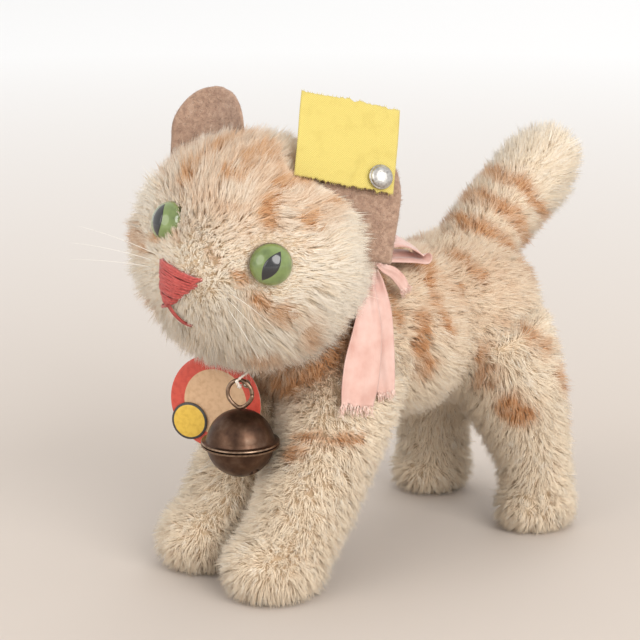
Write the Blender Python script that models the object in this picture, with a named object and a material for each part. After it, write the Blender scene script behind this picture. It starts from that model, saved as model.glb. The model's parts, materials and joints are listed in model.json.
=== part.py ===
"""Standing plush cat with a disc-jointed head, felt ears, glass eyes, a neck ribbon, a bell and a paper tag.

World frame in metres: the cat faces -Y, +X is its left, +Z is up, and it stands on z = 0.
Sizes and places below are in millimetres, in a working frame whose origin is under the chest.
"""

import math

import bmesh
import bpy
import numpy as np
from mathutils import Matrix, Vector

MM = 0.001
GAP = 0.3  # air between pieces that touch
WALL = 1.4  # mohair backing with the dense foot of its pile
CORE_EASE = 1.15  # the filling stays this far inside the panels

# The working frame's origin, seen from the middle of the finished cat's footprint.
SHIFT = (-3.585, 3.27)

# Head: a ball with a muzzle, turned and tilted on the neck joint
HEAD_CENTRE = Vector((0.0, -30.0, 67.0))
HEAD_LEFT = Vector((0.919, 0.271, -0.287)).normalized()
HEAD_FRONT = Vector((0.311, -0.945, 0.105))
HEAD_RADII = (20.4, 19.6, 19.6)  # left-right, front-back, up-down
MUZZLE_AT = Vector((0.0, 0.95, -0.31)).normalized()
MUZZLE_RISE = 1.8
MUZZLE_SPREAD = 0.42
GUSSET_HALF_ANGLE = math.radians(19)
GUSSET_FROM, GUSSET_TO = math.radians(-8), math.radians(205)

# Neck: a disc joint whose axis leans forward
NECK_AXIS = Vector((0.0, -1.0, 1.0)).normalized()
NECK_FACE = 17.5  # head centre to the flat under the head
SHOULDER = 19.4  # head centre to the flat around the neck stub
NECK_R = 10.4
DISC_R, DISC_T = 6.8, 1.2
PIN_R, PIN_HOLE_R = 0.8, 1.2

# Body skin: (centre, radii) of the rounded masses that the panels are sewn to
TRUNK = [
    ((0, -12.0, 47.0), (14.0, 14.5, 14.5)),
    ((0, 6.0, 44.9), (14.6, 20.0, 16.0)),
    ((0, 25.0, 45.0), (16.0, 16.5, 16.2)),
]
# Legs: (x, y, z, radius) down the middle of the left legs, then the foot's centre and radii
FRONT_LEG = [(7.5, -11, 41, 9.8), (9.2, -17.5, 29, 9.2), (10.2, -25, 17, 8.4), (10.6, -30.5, 8, 7.8)]
FRONT_FOOT = ((10.8, -33.2, 5.9), (8.0, 9.4, 7.3))
HIND_LEG = [(9.5, 27, 42, 10.5), (12.6, 30.5, 30, 9.2), (15.2, 33.5, 18, 6.6), (16.3, 35.0, 7, 6.0)]
HIND_FOOT = ((16.4, 34.4, 4.6), (6.3, 7.8, 5.8))
VOXEL = 1.5
SKIN_FACES, LINING_FACES, CORE_FACES = 1200, 620, 420
BELLY_SEAM_Z = 37.0
BELLY_SEAM_X = ((-60.0, 9.0), (-35.0, 10.6), (35.0, 16.4), (60.0, 18.0))  # seam's half-spacing at each y

# Tail: (x, y, z, radius) down its middle
TAIL = [
    (0, 26, 55, 5.4),
    (0, 33, 61.5, 5.7),
    (0, 40.5, 67.5, 5.9),
    (0, 47.5, 72.5, 5.5),
    (0, 51.6, 75.4, 4.4),
]

# Face, in the head's own directions: left, front, up
EYES = {"left": Vector((13.0, 14.4, 4.2)), "right": Vector((-9.2, 16.9, 3.4))}
EYE_R, EYE_RISE = 3.8, 3.1
SHANK_R = 0.5
NOSE_LEFT, NOSE_TOP, NOSE_TIP, NOSE_HALF_WIDTH = -0.9, -2.3, -9.2, 4.6
LIP_START, LIP_REACH, LIP_DROP = 1.2, 4.2, 2.6
STITCH_RISE = 0.9
WHISKER_R = 0.13
WHISKER_LENGTH, WHISKER_SAG = 17.0, 1.8

# Ears. The right one stands on the head by its own directions, and the left one lies behind the flag.
EAR_WIDTH, EAR_HEIGHT, EAR_ROOT, FELT = 16.0, 23.0, 5.0, 1.1
EAR_STRAIGHT = 0.58  # share of its height below the round top
RIGHT_EAR_AT, RIGHT_EAR_CUP = Vector((-15.2, -3.0, 9.0)), 3.2
RIGHT_EAR_ACROSS, RIGHT_EAR_UP = Vector((-0.92, 0.1, -0.36)), Vector((-0.22, 0.02, 0.97))
LEFT_EAR_CUP = 1.4
LEFT_EAR_FROM_BUTTON = (-2.8, -11.0, -4.0)  # across, up and out from the button to the ear's middle

# Button and flag on the left ear
BUTTON_AT = Vector((19.0, -13.2, 82.2))
BUTTON_R, RIVET_R, RIVET_FOOT = 2.35, 0.8, -4.9
FLAG_NORMAL = Vector((0.885, -0.307, 0.349)).normalized()
FLAG_ACROSS = Vector((0.396, 0.891, -0.22))
FLAG_WIDTH, FLAG_LENGTH, FLAG_T = 20.4, 16.6, 0.5
FLAG_HOLE = (17.3, 2.6)  # from the flag's free lower corner

# Ribbon
BAND_R, BAND_HALF_WIDTH, BAND_HALF_HEIGHT, BAND_AT = 12.4, 1.3, 0.8, 17.95
RIBBON_W, RIBBON_T = 8.6, 0.45
KNOT_AT, KNOT_R = Vector((9.6, -7.6, 64.2)), (2.3, 2.3, 2.1)

# Bell and tag
THREAD_TOP = Vector((4.2, -27.2, 44.5))
THREAD_OVER = Vector((4.6, -32.0, 45.0))  # where it lies over the pile of the chest
THREAD_R = 0.32
BELL_AT = Vector((5.0, -37.0, 30.4))
BELL_R, BELL_WALL, FLANGE_R, FLANGE_T = 6.7, 0.5, 7.7, 0.45
RING_R, RING_WIRE = 2.5, 0.42
PELLET_R = 1.9
RING_TOP = BELL_AT + Vector((0, 0, BELL_R + GAP + RING_WIRE + 2 * RING_R))
RING_NORMAL = Vector((0.55, -0.82, 0.1)).normalized()
TAG_AT = Vector((-7.0, -33.7, 35.4))
TAG_NORMAL = Vector((0.50, -0.865, 0.02)).normalized()
TAG_HOLE_WAY, TAG_HOLE_OUT, TAG_HOLE_R = Vector((0.717, 0.427, 0.551)), 8.0, 0.9
TAG_R, TAG_T = 9.7, 0.5
TAG_THREAD_TOP = Vector((-1.4, -27.4, 44.2))
SEAL_WAY, SEAL_OUT, SEAL_R = Vector((-0.67, -0.39, -0.63)), 7.0, 3.8


def material(name, colour, roughness, metallic=0.0):
    made = bpy.data.materials.new(name)
    made.use_nodes = True
    shader = made.node_tree.nodes["Principled BSDF"]
    shader.inputs["Base Color"].default_value = (*colour, 1.0)
    shader.inputs["Roughness"].default_value = roughness
    shader.inputs["Metallic"].default_value = metallic
    return made


def mesh_object(name, points, faces, finish=None):
    """A mesh object from points in millimetres of the working frame."""
    mesh = bpy.data.meshes.new(name)
    mesh.from_pydata([tuple(MM * c for c in p) for p in points], [], faces)
    tool = bmesh.new()
    tool.from_mesh(mesh)
    bmesh.ops.remove_doubles(tool, verts=tool.verts, dist=1e-6)
    bmesh.ops.dissolve_degenerate(tool, edges=tool.edges, dist=1e-6)
    bmesh.ops.recalc_face_normals(tool, faces=tool.faces)
    tool.to_mesh(mesh)
    tool.free()
    made = bpy.data.objects.new(name, mesh)
    bpy.context.scene.collection.objects.link(made)
    if finish:
        finished(made, finish)
    return made


def finished(made, finish):
    """Gives a piece its material and smooth shading."""
    made.data.materials.clear()
    made.data.materials.append(finish)
    made.data.shade_smooth()
    made.data.set_sharp_from_angle(angle=math.radians(40))
    return made


def applied(made):
    """The object with its modifiers applied."""
    graph = bpy.context.evaluated_depsgraph_get()
    made.data = bpy.data.meshes.new_from_object(made.evaluated_get(graph))
    made.modifiers.clear()
    return made


def combined(first, second, operation, keep=False):
    """first with second cut from it, joined to it or intersected with it."""
    change = first.modifiers.new(operation.lower(), "BOOLEAN")
    change.operation = operation
    change.object = second
    bpy.context.view_layer.update()
    applied(first)
    if not keep:
        bpy.data.objects.remove(second)
    return first


def copy_of(made, name):
    twin = made.copy()
    twin.data = made.data.copy()
    twin.name = name
    bpy.context.scene.collection.objects.link(twin)
    return twin


def frame_along(direction):
    """A rotation that carries +Z to direction."""
    return Vector(direction).to_track_quat("Z", "Y").to_matrix()


def turned(profile, centre, axis, sides, name, finish=None):
    """The solid swept by a profile of (radius, height) points as it turns about an axis through centre."""
    spin = frame_along(axis)
    points, faces = [], []
    for i in range(sides):
        angle = 2 * math.pi * i / sides
        for radius, height in profile:
            local = Vector((radius * math.cos(angle), radius * math.sin(angle), height))
            points.append(Vector(centre) + spin @ local)
    count = len(profile)
    for i in range(sides):
        here, there = i * count, (i + 1) % sides * count
        for j in range(count):
            after = (j + 1) % count
            faces.append((here + j, there + j, there + after, here + after))
    return mesh_object(name, points, faces, finish)


def ellipsoid(centre, radii, name, rings=14, sides=22):
    points, faces = [], []
    for i in range(rings + 1):
        rise = math.pi * (i / rings - 0.5)
        for j in range(sides):
            turn = 2 * math.pi * j / sides
            way = (math.cos(rise) * math.cos(turn), math.cos(rise) * math.sin(turn), math.sin(rise))
            points.append([c + r * w for c, r, w in zip(centre, radii, way)])
    for i in range(rings):
        for j in range(sides):
            a, b = i * sides + j, i * sides + (j + 1) % sides
            faces.append((a, b, b + sides, a + sides))
    return mesh_object(name, points, faces)


def limb(stations, name, inset=0.0, sides=16, finish=None, round_end=True):
    """A tube through (x, y, z, radius) stations, with a rounded far end."""
    centres = [Vector(s[:3]) for s in stations]
    radii = [s[3] - inset for s in stations]
    if round_end:
        way = (centres[-1] - centres[-2]).normalized()
        last, reach = centres[-1], radii[-1]
        for angle in (35, 62, 82):
            turn = math.radians(angle)
            centres.append(last + way * reach * math.sin(turn))
            radii.append(reach * math.cos(turn))
    points, faces = [], []
    for i, (centre, radius) in enumerate(zip(centres, radii)):
        before, after = centres[max(i - 1, 0)], centres[min(i + 1, len(centres) - 1)]
        turn = frame_along(after - before)
        for j in range(sides):
            angle = 2 * math.pi * j / sides
            points.append(centre + turn @ Vector((radius * math.cos(angle), radius * math.sin(angle), 0)))
    for i in range(len(centres) - 1):
        for j in range(sides):
            a, b = i * sides + j, i * sides + (j + 1) % sides
            faces.append((a, b, b + sides, a + sides))
    faces.append(tuple(range(sides)))
    faces.append(tuple(range((len(centres) - 1) * sides, len(centres) * sides)))
    return mesh_object(name, points, faces, finish)


def strip(stations, thickness, name, finish):
    """A flat band through stations of (centre, side direction, width)."""
    points, faces = [], []
    for i, (centre, side, width) in enumerate(stations):
        before, after = stations[max(i - 1, 0)][0], stations[min(i + 1, len(stations) - 1)][0]
        along = (Vector(after) - Vector(before)).normalized()
        side = Vector(side) - along * along.dot(Vector(side))
        side.normalize()
        up = along.cross(side)
        for across, lift in ((-1, -1), (1, -1), (1, 1), (-1, 1)):
            points.append(Vector(centre) + side * across * width / 2 + up * lift * thickness / 2)
    for i in range(len(stations) - 1):
        for j in range(4):
            a, b = 4 * i + j, 4 * i + (j + 1) % 4
            faces.append((a, b, b + 4, a + 4))
    last = 4 * (len(stations) - 1)
    faces += [(0, 1, 2, 3), (last, last + 1, last + 2, last + 3)]
    return mesh_object(name, points, faces, finish)


def wire(stations, radius, name, finish, sides=8):
    return limb([(*s, radius) for s in stations], name, sides=sides, finish=finish, round_end=False)


def half_space(point, normal, name, size=200.0):
    """A big block on the side of the plane that normal points to."""
    corners = [(x, y, z) for x in (-size, size) for y in (-size, size) for z in (0, 2 * size)]
    turn = frame_along(normal)
    faces = [(0, 1, 3, 2), (4, 5, 7, 6), (0, 1, 5, 4), (2, 3, 7, 6), (0, 2, 6, 4), (1, 3, 7, 5)]
    return mesh_object(name, [Vector(point) + turn @ Vector(c) for c in corners], faces)


def cylinder(start, end, radius, name, sides=20, finish=None):
    axis = Vector(end) - Vector(start)
    profile = [(0, 0), (radius, 0), (radius, axis.length), (0, axis.length)]
    return turned(profile, start, axis, sides, name, finish)


def along_neck(distance):
    """The point on the neck's axis this far below the head's centre."""
    return HEAD_CENTRE - NECK_AXIS * distance


# The head's surface


def head_matrix():
    left = HEAD_LEFT
    front = (HEAD_FRONT - left * left.dot(HEAD_FRONT)).normalized()
    up = (left.cross(-front)).normalized()
    return Matrix((left, front, up)).transposed()


def head_point(way, rise=0.0):
    """The head skin's point, raised by rise, in the direction way of the head's own left, front and up."""
    way = Vector(way).normalized()
    ball = 1 / math.sqrt(sum((c / r) ** 2 for c, r in zip(way, HEAD_RADII)))
    off = way.angle(MUZZLE_AT)
    radius = ball + MUZZLE_RISE * math.exp(-((off / MUZZLE_SPREAD) ** 2)) + rise
    world = HEAD @ way
    down = -world.dot(NECK_AXIS)
    if down > 0:
        radius = min(radius, (NECK_FACE + rise) / down)
    return HEAD_CENTRE + world * radius


def grid_lines(edges, steps):
    """Angles from the first edge to the last, with a pair of lines one seam apart at each inner edge."""
    seam = GAP / 2 / HEAD_RADII[0]
    lines = []
    for i, (start, end) in enumerate(zip(edges, edges[1:])):
        start = start + (seam if i else 0)
        end = end - (seam if i < len(edges) - 2 else 0)
        lines += [start + (end - start) * k / steps[i] for k in range(steps[i] + 1)]
    return lines


def head_shell(name, wanted, finish):
    """One sewn panel of the head: the cells of its grid that wanted(side, turn) picks."""
    quarter = math.pi / 2
    sides = grid_lines([-quarter, -GUSSET_HALF_ANGLE, 0, GUSSET_HALF_ANGLE, quarter], [5, 2, 2, 5])
    turns = grid_lines([GUSSET_FROM, GUSSET_TO, GUSSET_FROM + 2 * math.pi], [14, 9])
    seam = GAP / 2 / HEAD_RADII[0]
    turns[-1] -= seam
    turns[0] += seam
    turns.append(turns[0] + 2 * math.pi)
    layers = []
    for rise in (0.0, -WALL):
        for turn in turns:
            for side in sides:
                way = (math.sin(side), math.cos(side) * math.cos(turn), math.cos(side) * math.sin(turn))
                layers.append(head_point(way, rise))
    wide, layer = len(sides), len(sides) * len(turns)
    picked = {
        (i, j)
        for i in range(len(turns) - 1)
        for j in range(wide - 1)
        if wanted((sides[j], sides[j + 1]), (turns[i], turns[i + 1]))
    }
    rows = len(turns) - 1
    faces = []
    for i, j in sorted(picked):
        corners = [i * wide + j, i * wide + j + 1, (i + 1) * wide + j + 1, (i + 1) * wide + j]
        faces.append(tuple(corners))
        faces.append(tuple(layer + c for c in reversed(corners)))
        neighbours = [((i - 1) % rows, j), (i, j + 1), ((i + 1) % rows, j), (i, j - 1)]
        for k, beside in enumerate(neighbours):
            at_pole = beside[1] in (-1, wide - 1)
            if beside not in picked and not at_pole:
                a, b = corners[k], corners[(k + 1) % 4]
                faces.append((a, b, layer + b, layer + a))
    return mesh_object(name, layers, faces, finish)


def in_gusset(side, turn, grow):
    """Whether a cell of the grid lies in the gusset, whose edge is moved out by the angle grow."""
    middle, half = (GUSSET_FROM + GUSSET_TO) / 2, (GUSSET_TO - GUSSET_FROM) / 2
    off = abs((sum(turn) / 2 - middle + math.pi) % (2 * math.pi) - math.pi)
    return abs(sum(side)) / 2 < GUSSET_HALF_ANGLE + grow and off < half + grow


def head_core():
    """The head's filling, one gap inside the panels."""
    rings, sides = 10, 18
    points, faces = [], []
    for i in range(rings + 1):
        rise = math.pi * (i / rings - 0.5)
        for j in range(sides):
            turn = 2 * math.pi * j / sides
            way = (math.cos(rise) * math.cos(turn), math.cos(rise) * math.sin(turn), math.sin(rise))
            points.append(head_point(way, -WALL - CORE_EASE))
    for i in range(rings):
        for j in range(sides):
            a, b = i * sides + j, i * sides + (j + 1) % sides
            faces.append((a, b, b + sides, a + sides))
    return mesh_object("head_stuffing", points, faces, WOOL)


def build_head():
    hole = cylinder(along_neck(NECK_FACE + 3), along_neck(NECK_FACE - 3), PIN_HOLE_R + 0.3, "neck_hole")
    hair = 0.002
    shells = [
        head_shell("head_centre_gusset", lambda s, t: in_gusset(s, t, -hair), MOHAIR),
        head_shell("head_cover_left", lambda s, t: sum(s) > hair and not in_gusset(s, t, hair), MOHAIR),
        head_shell("head_cover_right", lambda s, t: sum(s) < -hair and not in_gusset(s, t, hair), MOHAIR),
    ]
    core = head_core()
    for cover in shells[1:]:
        combined(cover, hole, "DIFFERENCE", keep=True)
    bpy.data.objects.remove(hole)
    inside = NECK_FACE - WALL - DISC_T - 2 * GAP - 1.6
    room = cylinder(along_neck(NECK_FACE), along_neck(inside), DISC_R + GAP, "disc_room")
    combined(core, room, "DIFFERENCE")
    for side, cover in ((1, shells[1]), (-1, shells[2])):
        name = "left" if side > 0 else "right"
        way = EYES[name]
        skin = head_point(way)
        out = (HEAD @ (way.normalized() + Vector((0, 0.25, 0)))).normalized()
        hole = cylinder(skin - out * 4, skin + out * 2, SHANK_R + GAP, "shank_hole", sides=12)
        combined(cover, hole, "DIFFERENCE")
        room = cylinder(skin - out * 7.4, skin + out * 2, SHANK_R + 2 * GAP, "shank_room", sides=12)
        combined(core, room, "DIFFERENCE")
        steps = [math.radians(a) for a in (0, 22.5, 45, 67.5, 90)]
        dome = [(EYE_R * math.cos(a), 0.5 + (EYE_RISE - 0.5) * math.sin(a)) for a in steps]
        bead = [(0, 0.1), (EYE_R - 0.6, 0), (EYE_R, 0.5), *dome[1:]]
        turned(bead, skin + out * (0.5 + GAP), out, 24, "eye_glass_" + name, GLASS)
        cylinder(skin - out * 6.8, skin + out * 0.5, SHANK_R, "eye_shank_" + name, sides=12, finish=STEEL)
    return shells


def on_face(left, up, rise):
    """The point of the head's skin, raised by rise, seen at (left, up) from straight in front of the head."""
    depth = math.sqrt(max(HEAD_RADII[1] ** 2 - left**2 - up**2, 0))
    return head_point((left, depth, up), rise)


def build_face():
    rows, columns = 6, 8
    points, faces = [], []
    for rise in (STITCH_RISE, GAP):
        for i in range(rows + 1):
            down = i / rows
            up = NOSE_TOP + (NOSE_TIP - NOSE_TOP) * down
            half = NOSE_HALF_WIDTH * (1 - down) ** 0.8 + 0.5
            for j in range(columns + 1):
                across = 2 * j / columns - 1
                crown = 1 - 0.35 * across**2 if rise > GAP else 1
                points.append(on_face(NOSE_LEFT + half * across, up, rise * crown))
    wide, layer = columns + 1, (rows + 1) * (columns + 1)
    for i in range(rows):
        for j in range(columns):
            corners = [i * wide + j, i * wide + j + 1, (i + 1) * wide + j + 1, (i + 1) * wide + j]
            faces += [tuple(corners), tuple(layer + c for c in reversed(corners))]
            for k, edge in enumerate((i == 0, j == columns - 1, i == rows - 1, j == 0)):
                if edge:
                    a, b = corners[k], corners[(k + 1) % 4]
                    faces.append((a, b, layer + b, layer + a))
    mesh_object("nose_stitching", points, faces, COTTON)

    lift = GAP + 0.45
    steps = (-1, -0.66, -0.33, 0, 0.33, 0.66, 1)
    lips = [(NOSE_LEFT + LIP_REACH * t, NOSE_TIP - LIP_START - LIP_DROP * abs(t) ** 1.3) for t in steps]
    wire([on_face(left, up, lift) for left, up in lips], 0.4, "mouth_stitching", COTTON)

    for side, name in ((1, "left"), (-1, "right")):
        for k in range(3):
            root = on_face(side * 8.0, -5.4 + 1.3 * k, GAP + 0.1)
            way = (HEAD @ Vector((side * 0.86, 0.46 - 0.05 * k, -0.12 + 0.11 * k))).normalized()
            reach = [root + way * WHISKER_LENGTH * t for t in (0, 0.25, 0.5, 0.75, 1)]
            sag = [point - Vector((0, 0, WHISKER_SAG * (k / 4) ** 2)) for k, point in enumerate(reach)]
            wire(sag, WHISKER_R, f"whisker_{name}_{k + 1}", NYLON, sides=6)


def ear_solid(base, across, up, front, cup_depth, name):
    """A cupped felt ear, whose foot build_ears cuts to the head's skin."""
    rows, columns = 9, 8
    points, faces = [], []
    for face in (0, 1):
        for i in range(rows + 1):
            climb = i / rows
            round_top = math.sqrt(max(1 - max(climb - EAR_STRAIGHT, 0) ** 2 / (1 - EAR_STRAIGHT) ** 2, 0.02))
            half = EAR_WIDTH / 2 * round_top * (0.92 + 0.08 * min(climb / EAR_STRAIGHT, 1))
            for j in range(columns + 1):
                side = half * (2 * j / columns - 1)
                cup = cup_depth * (side / (EAR_WIDTH / 2)) ** 2
                where = base + across * side + up * (EAR_HEIGHT * climb - EAR_ROOT)
                points.append(where + front * (cup + (FELT if face else 0)))
    wide, layer = columns + 1, (rows + 1) * (columns + 1)
    for i in range(rows):
        for j in range(columns):
            corners = [i * wide + j, i * wide + j + 1, (i + 1) * wide + j + 1, (i + 1) * wide + j]
            faces += [tuple(corners), tuple(layer + c for c in reversed(corners))]
            for k, edge in enumerate((i == 0, j == columns - 1, i == rows - 1, j == 0)):
                if edge:
                    a, b = corners[k], corners[(k + 1) % 4]
                    faces.append((a, b, layer + b, layer + a))
    return mesh_object(name, points, faces, FELT_FINISH)


def head_ball(rise, name):
    rings, sides = 20, 32
    points, faces = [], []
    for i in range(rings + 1):
        height = math.pi * (i / rings - 0.5)
        for j in range(sides):
            turn = 2 * math.pi * j / sides
            way = (math.cos(height) * math.cos(turn), math.cos(height) * math.sin(turn), math.sin(height))
            points.append(head_point(way, rise))
    for i in range(rings):
        for j in range(sides):
            a, b = i * sides + j, i * sides + (j + 1) % sides
            faces.append((a, b, b + sides, a + sides))
    return mesh_object(name, points, faces)


def flag_directions():
    across = (FLAG_ACROSS - FLAG_NORMAL * FLAG_NORMAL.dot(FLAG_ACROSS)).normalized()
    return across, FLAG_NORMAL.cross(across)


def build_ears():
    clear = head_ball(GAP + 0.25, "head_clearance")
    up = (HEAD @ RIGHT_EAR_UP).normalized()
    across = HEAD @ RIGHT_EAR_ACROSS
    across = (across - up * up.dot(across)).normalized()
    base = HEAD_CENTRE + HEAD @ RIGHT_EAR_AT
    right = ear_solid(base, across, up, up.cross(across), RIGHT_EAR_CUP, "ear_right")
    combined(right, clear, "DIFFERENCE", keep=True)

    across, up = flag_directions()
    over, rise, out = LEFT_EAR_FROM_BUTTON
    base = BUTTON_AT + across * over + up * rise + FLAG_NORMAL * out
    left = ear_solid(base, across, up, FLAG_NORMAL, LEFT_EAR_CUP, "ear_left")
    combined(left, clear, "DIFFERENCE")
    foot, top = BUTTON_AT - FLAG_NORMAL * 9, BUTTON_AT + FLAG_NORMAL * 2
    hole = cylinder(foot, top, RIVET_R + GAP, "rivet_hole", sides=12)
    combined(left, hole, "DIFFERENCE")


def build_button_and_flag():
    steps = [math.radians(a) for a in (0, 30, 60, 90)]
    dome = [(BUTTON_R * math.cos(a), 1.1 * math.sin(a)) for a in steps]
    base = BUTTON_AT
    stem = [(0, RIVET_FOOT), (RIVET_R, RIVET_FOOT), (RIVET_R, -0.2), (BUTTON_R - 0.2, -0.35)]
    turned([*stem, *dome], base, FLAG_NORMAL, 24, "ear_button", STEEL)
    inner, top = RIVET_R + GAP, RIVET_FOOT + 0.6
    washer = [(inner, RIVET_FOOT), (2.0, RIVET_FOOT), (2.0, top), (inner, top)]
    turned(washer, base, FLAG_NORMAL, 20, "ear_button_backing", STEEL)
    across, up = flag_directions()
    corner = base - across * FLAG_HOLE[0] - up * FLAG_HOLE[1] - FLAG_NORMAL * 1.1
    middle = corner + across * FLAG_WIDTH / 2
    stations = [(middle + up * FLAG_LENGTH * t / 4, across, FLAG_WIDTH) for t in range(5)]
    flag = strip(stations, FLAG_T, "ear_flag", WOVEN)
    foot, top = base - FLAG_NORMAL * 3, base + FLAG_NORMAL * 2
    combined(flag, cylinder(foot, top, RIVET_R + GAP, "flag_hole", sides=12), "DIFFERENCE")


# The body


def body_solid(inset, faces, name):
    """The body's rounded masses and legs as one closed skin, inset from the outside."""
    masses = [ellipsoid(centre, [r - inset for r in radii], "mass") for centre, radii in TRUNK]
    for side in (1, -1):
        for stations, (centre, radii) in ((FRONT_LEG, FRONT_FOOT), (HIND_LEG, HIND_FOOT)):
            masses.append(limb([(side * x, y, z, r) for x, y, z, r in stations], "leg", inset))
            masses.append(ellipsoid((side * centre[0], *centre[1:]), [r - inset for r in radii], "foot"))
    low, high = along_neck(SHOULDER + 9 + inset), along_neck(NECK_FACE + GAP + 0.2 + inset)
    masses.append(cylinder(low, high, NECK_R - inset, "stub"))
    tool = bmesh.new()
    for mass in masses:
        tool.from_mesh(mass.data)
        bpy.data.objects.remove(mass)
    mesh = bpy.data.meshes.new(name)
    tool.to_mesh(mesh)
    tool.free()
    made = bpy.data.objects.new(name, mesh)
    bpy.context.scene.collection.objects.link(made)
    remesh = made.modifiers.new("skin", "REMESH")
    remesh.mode = "VOXEL"
    remesh.voxel_size = VOXEL * MM
    ease = made.modifiers.new("ease", "SMOOTH")
    ease.iterations = 3
    bpy.context.view_layer.update()
    applied(made)
    thin_out = made.modifiers.new("thin_out", "DECIMATE")
    thin_out.ratio = faces / sum(len(p.vertices) - 2 for p in made.data.polygons)
    bpy.context.view_layer.update()
    applied(made)
    combined(made, half_space((0, 0, inset), (0, 0, -1), "floor"), "DIFFERENCE")
    shoulder = SHOULDER + inset
    ring = [(NECK_R - inset, 0), (60, 0), (60, 60), (NECK_R - inset, 60)]
    combined(made, turned(ring, along_neck(shoulder), NECK_AXIS, 40, "shoulder_cut"), "DIFFERENCE")
    top = NECK_FACE + GAP + 0.2 + inset
    combined(made, half_space(along_neck(top), NECK_AXIS, "neck_top"), "DIFFERENCE")
    return made


def belly_prism(grow, name):
    """The block under the belly seam, between the seams down the legs."""
    outline = [(-x - grow, y) for y, x in BELLY_SEAM_X] + [(x + grow, y) for y, x in reversed(BELLY_SEAM_X)]
    points = [(x, y, z) for z in (-5, BELLY_SEAM_Z + grow) for x, y in outline]
    count = len(outline)
    faces = [tuple(range(count)), tuple(range(count, 2 * count))]
    faces += [(i, (i + 1) % count, count + (i + 1) % count, count + i) for i in range(count)]
    return mesh_object(name, points, faces)


def build_body():
    lining = body_solid(WALL, LINING_FACES, "lining")
    shell = combined(body_solid(0.0, SKIN_FACES, "shell"), lining, "DIFFERENCE")
    hole = cylinder(along_neck(NECK_FACE - 2), along_neck(NECK_FACE + 6), PIN_HOLE_R + 0.3, "pin_hole")
    combined(shell, hole, "DIFFERENCE")
    gusset = combined(copy_of(shell, "belly_gusset"), belly_prism(0, "prism"), "INTERSECT")
    finished(gusset, MOHAIR)
    combined(shell, belly_prism(GAP, "prism"), "DIFFERENCE")
    for side, name in ((1, "body_side_left"), (-1, "body_side_right")):
        middle = half_space((side * GAP / 2, 0, 0), (-side, 0, 0), "middle")
        finished(combined(copy_of(shell, name), middle, "DIFFERENCE"), MOHAIR)
    bpy.data.objects.remove(shell)

    core = body_solid(WALL + CORE_EASE, CORE_FACES, "body_stuffing")
    inside = NECK_FACE + GAP + 0.2 + WALL
    low = along_neck(inside + DISC_T + 2 * GAP + 2.2)
    room = cylinder(along_neck(inside - 1), low, DISC_R + GAP, "disc_room")
    finished(combined(core, room, "DIFFERENCE"), WOOL)


def build_neck_joint():
    """Two discs on one pin: the head's disc turns on the pin, and the body's disc is pinned to it."""
    for name, start in (
        ("neck_disc_head", NECK_FACE - WALL - GAP - DISC_T),
        ("neck_disc_body", NECK_FACE + GAP + 0.2 + WALL + GAP),
    ):
        ring = [(PIN_HOLE_R, 0), (DISC_R, 0), (DISC_R, DISC_T), (PIN_HOLE_R, DISC_T)]
        turned(ring, along_neck(start), -NECK_AXIS, 32, name, BOARD)
    top = NECK_FACE - WALL - GAP - DISC_T - GAP
    bottom = NECK_FACE + GAP + 0.2 + WALL + GAP + DISC_T + GAP
    profile = [(0, -0.7), (2.2, -0.7), (2.2, 0), (PIN_R, 0), (PIN_R, bottom - top), (2.2, bottom - top)]
    profile += [(2.2, bottom - top + 0.7), (0, bottom - top + 0.7)]
    turned(profile, along_neck(top), -NECK_AXIS, 20, "neck_cotter_pin", STEEL)


def build_tail():
    outer = limb(TAIL, "tail_cover", sides=14)
    inner = limb(TAIL, "tail_lining", inset=WALL - 0.3, sides=14)
    combined(outer, inner, "DIFFERENCE", keep=True)
    bpy.data.objects.remove(inner)
    clear = body_solid(-GAP - 0.2, SKIN_FACES, "body_clearance")
    finished(combined(outer, clear, "DIFFERENCE", keep=True), MOHAIR)
    core = limb(TAIL, "tail_stuffing", inset=WALL - 0.3 + GAP, sides=12)
    finished(combined(core, clear, "DIFFERENCE"), WOOL)


# What hangs on the neck


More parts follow.
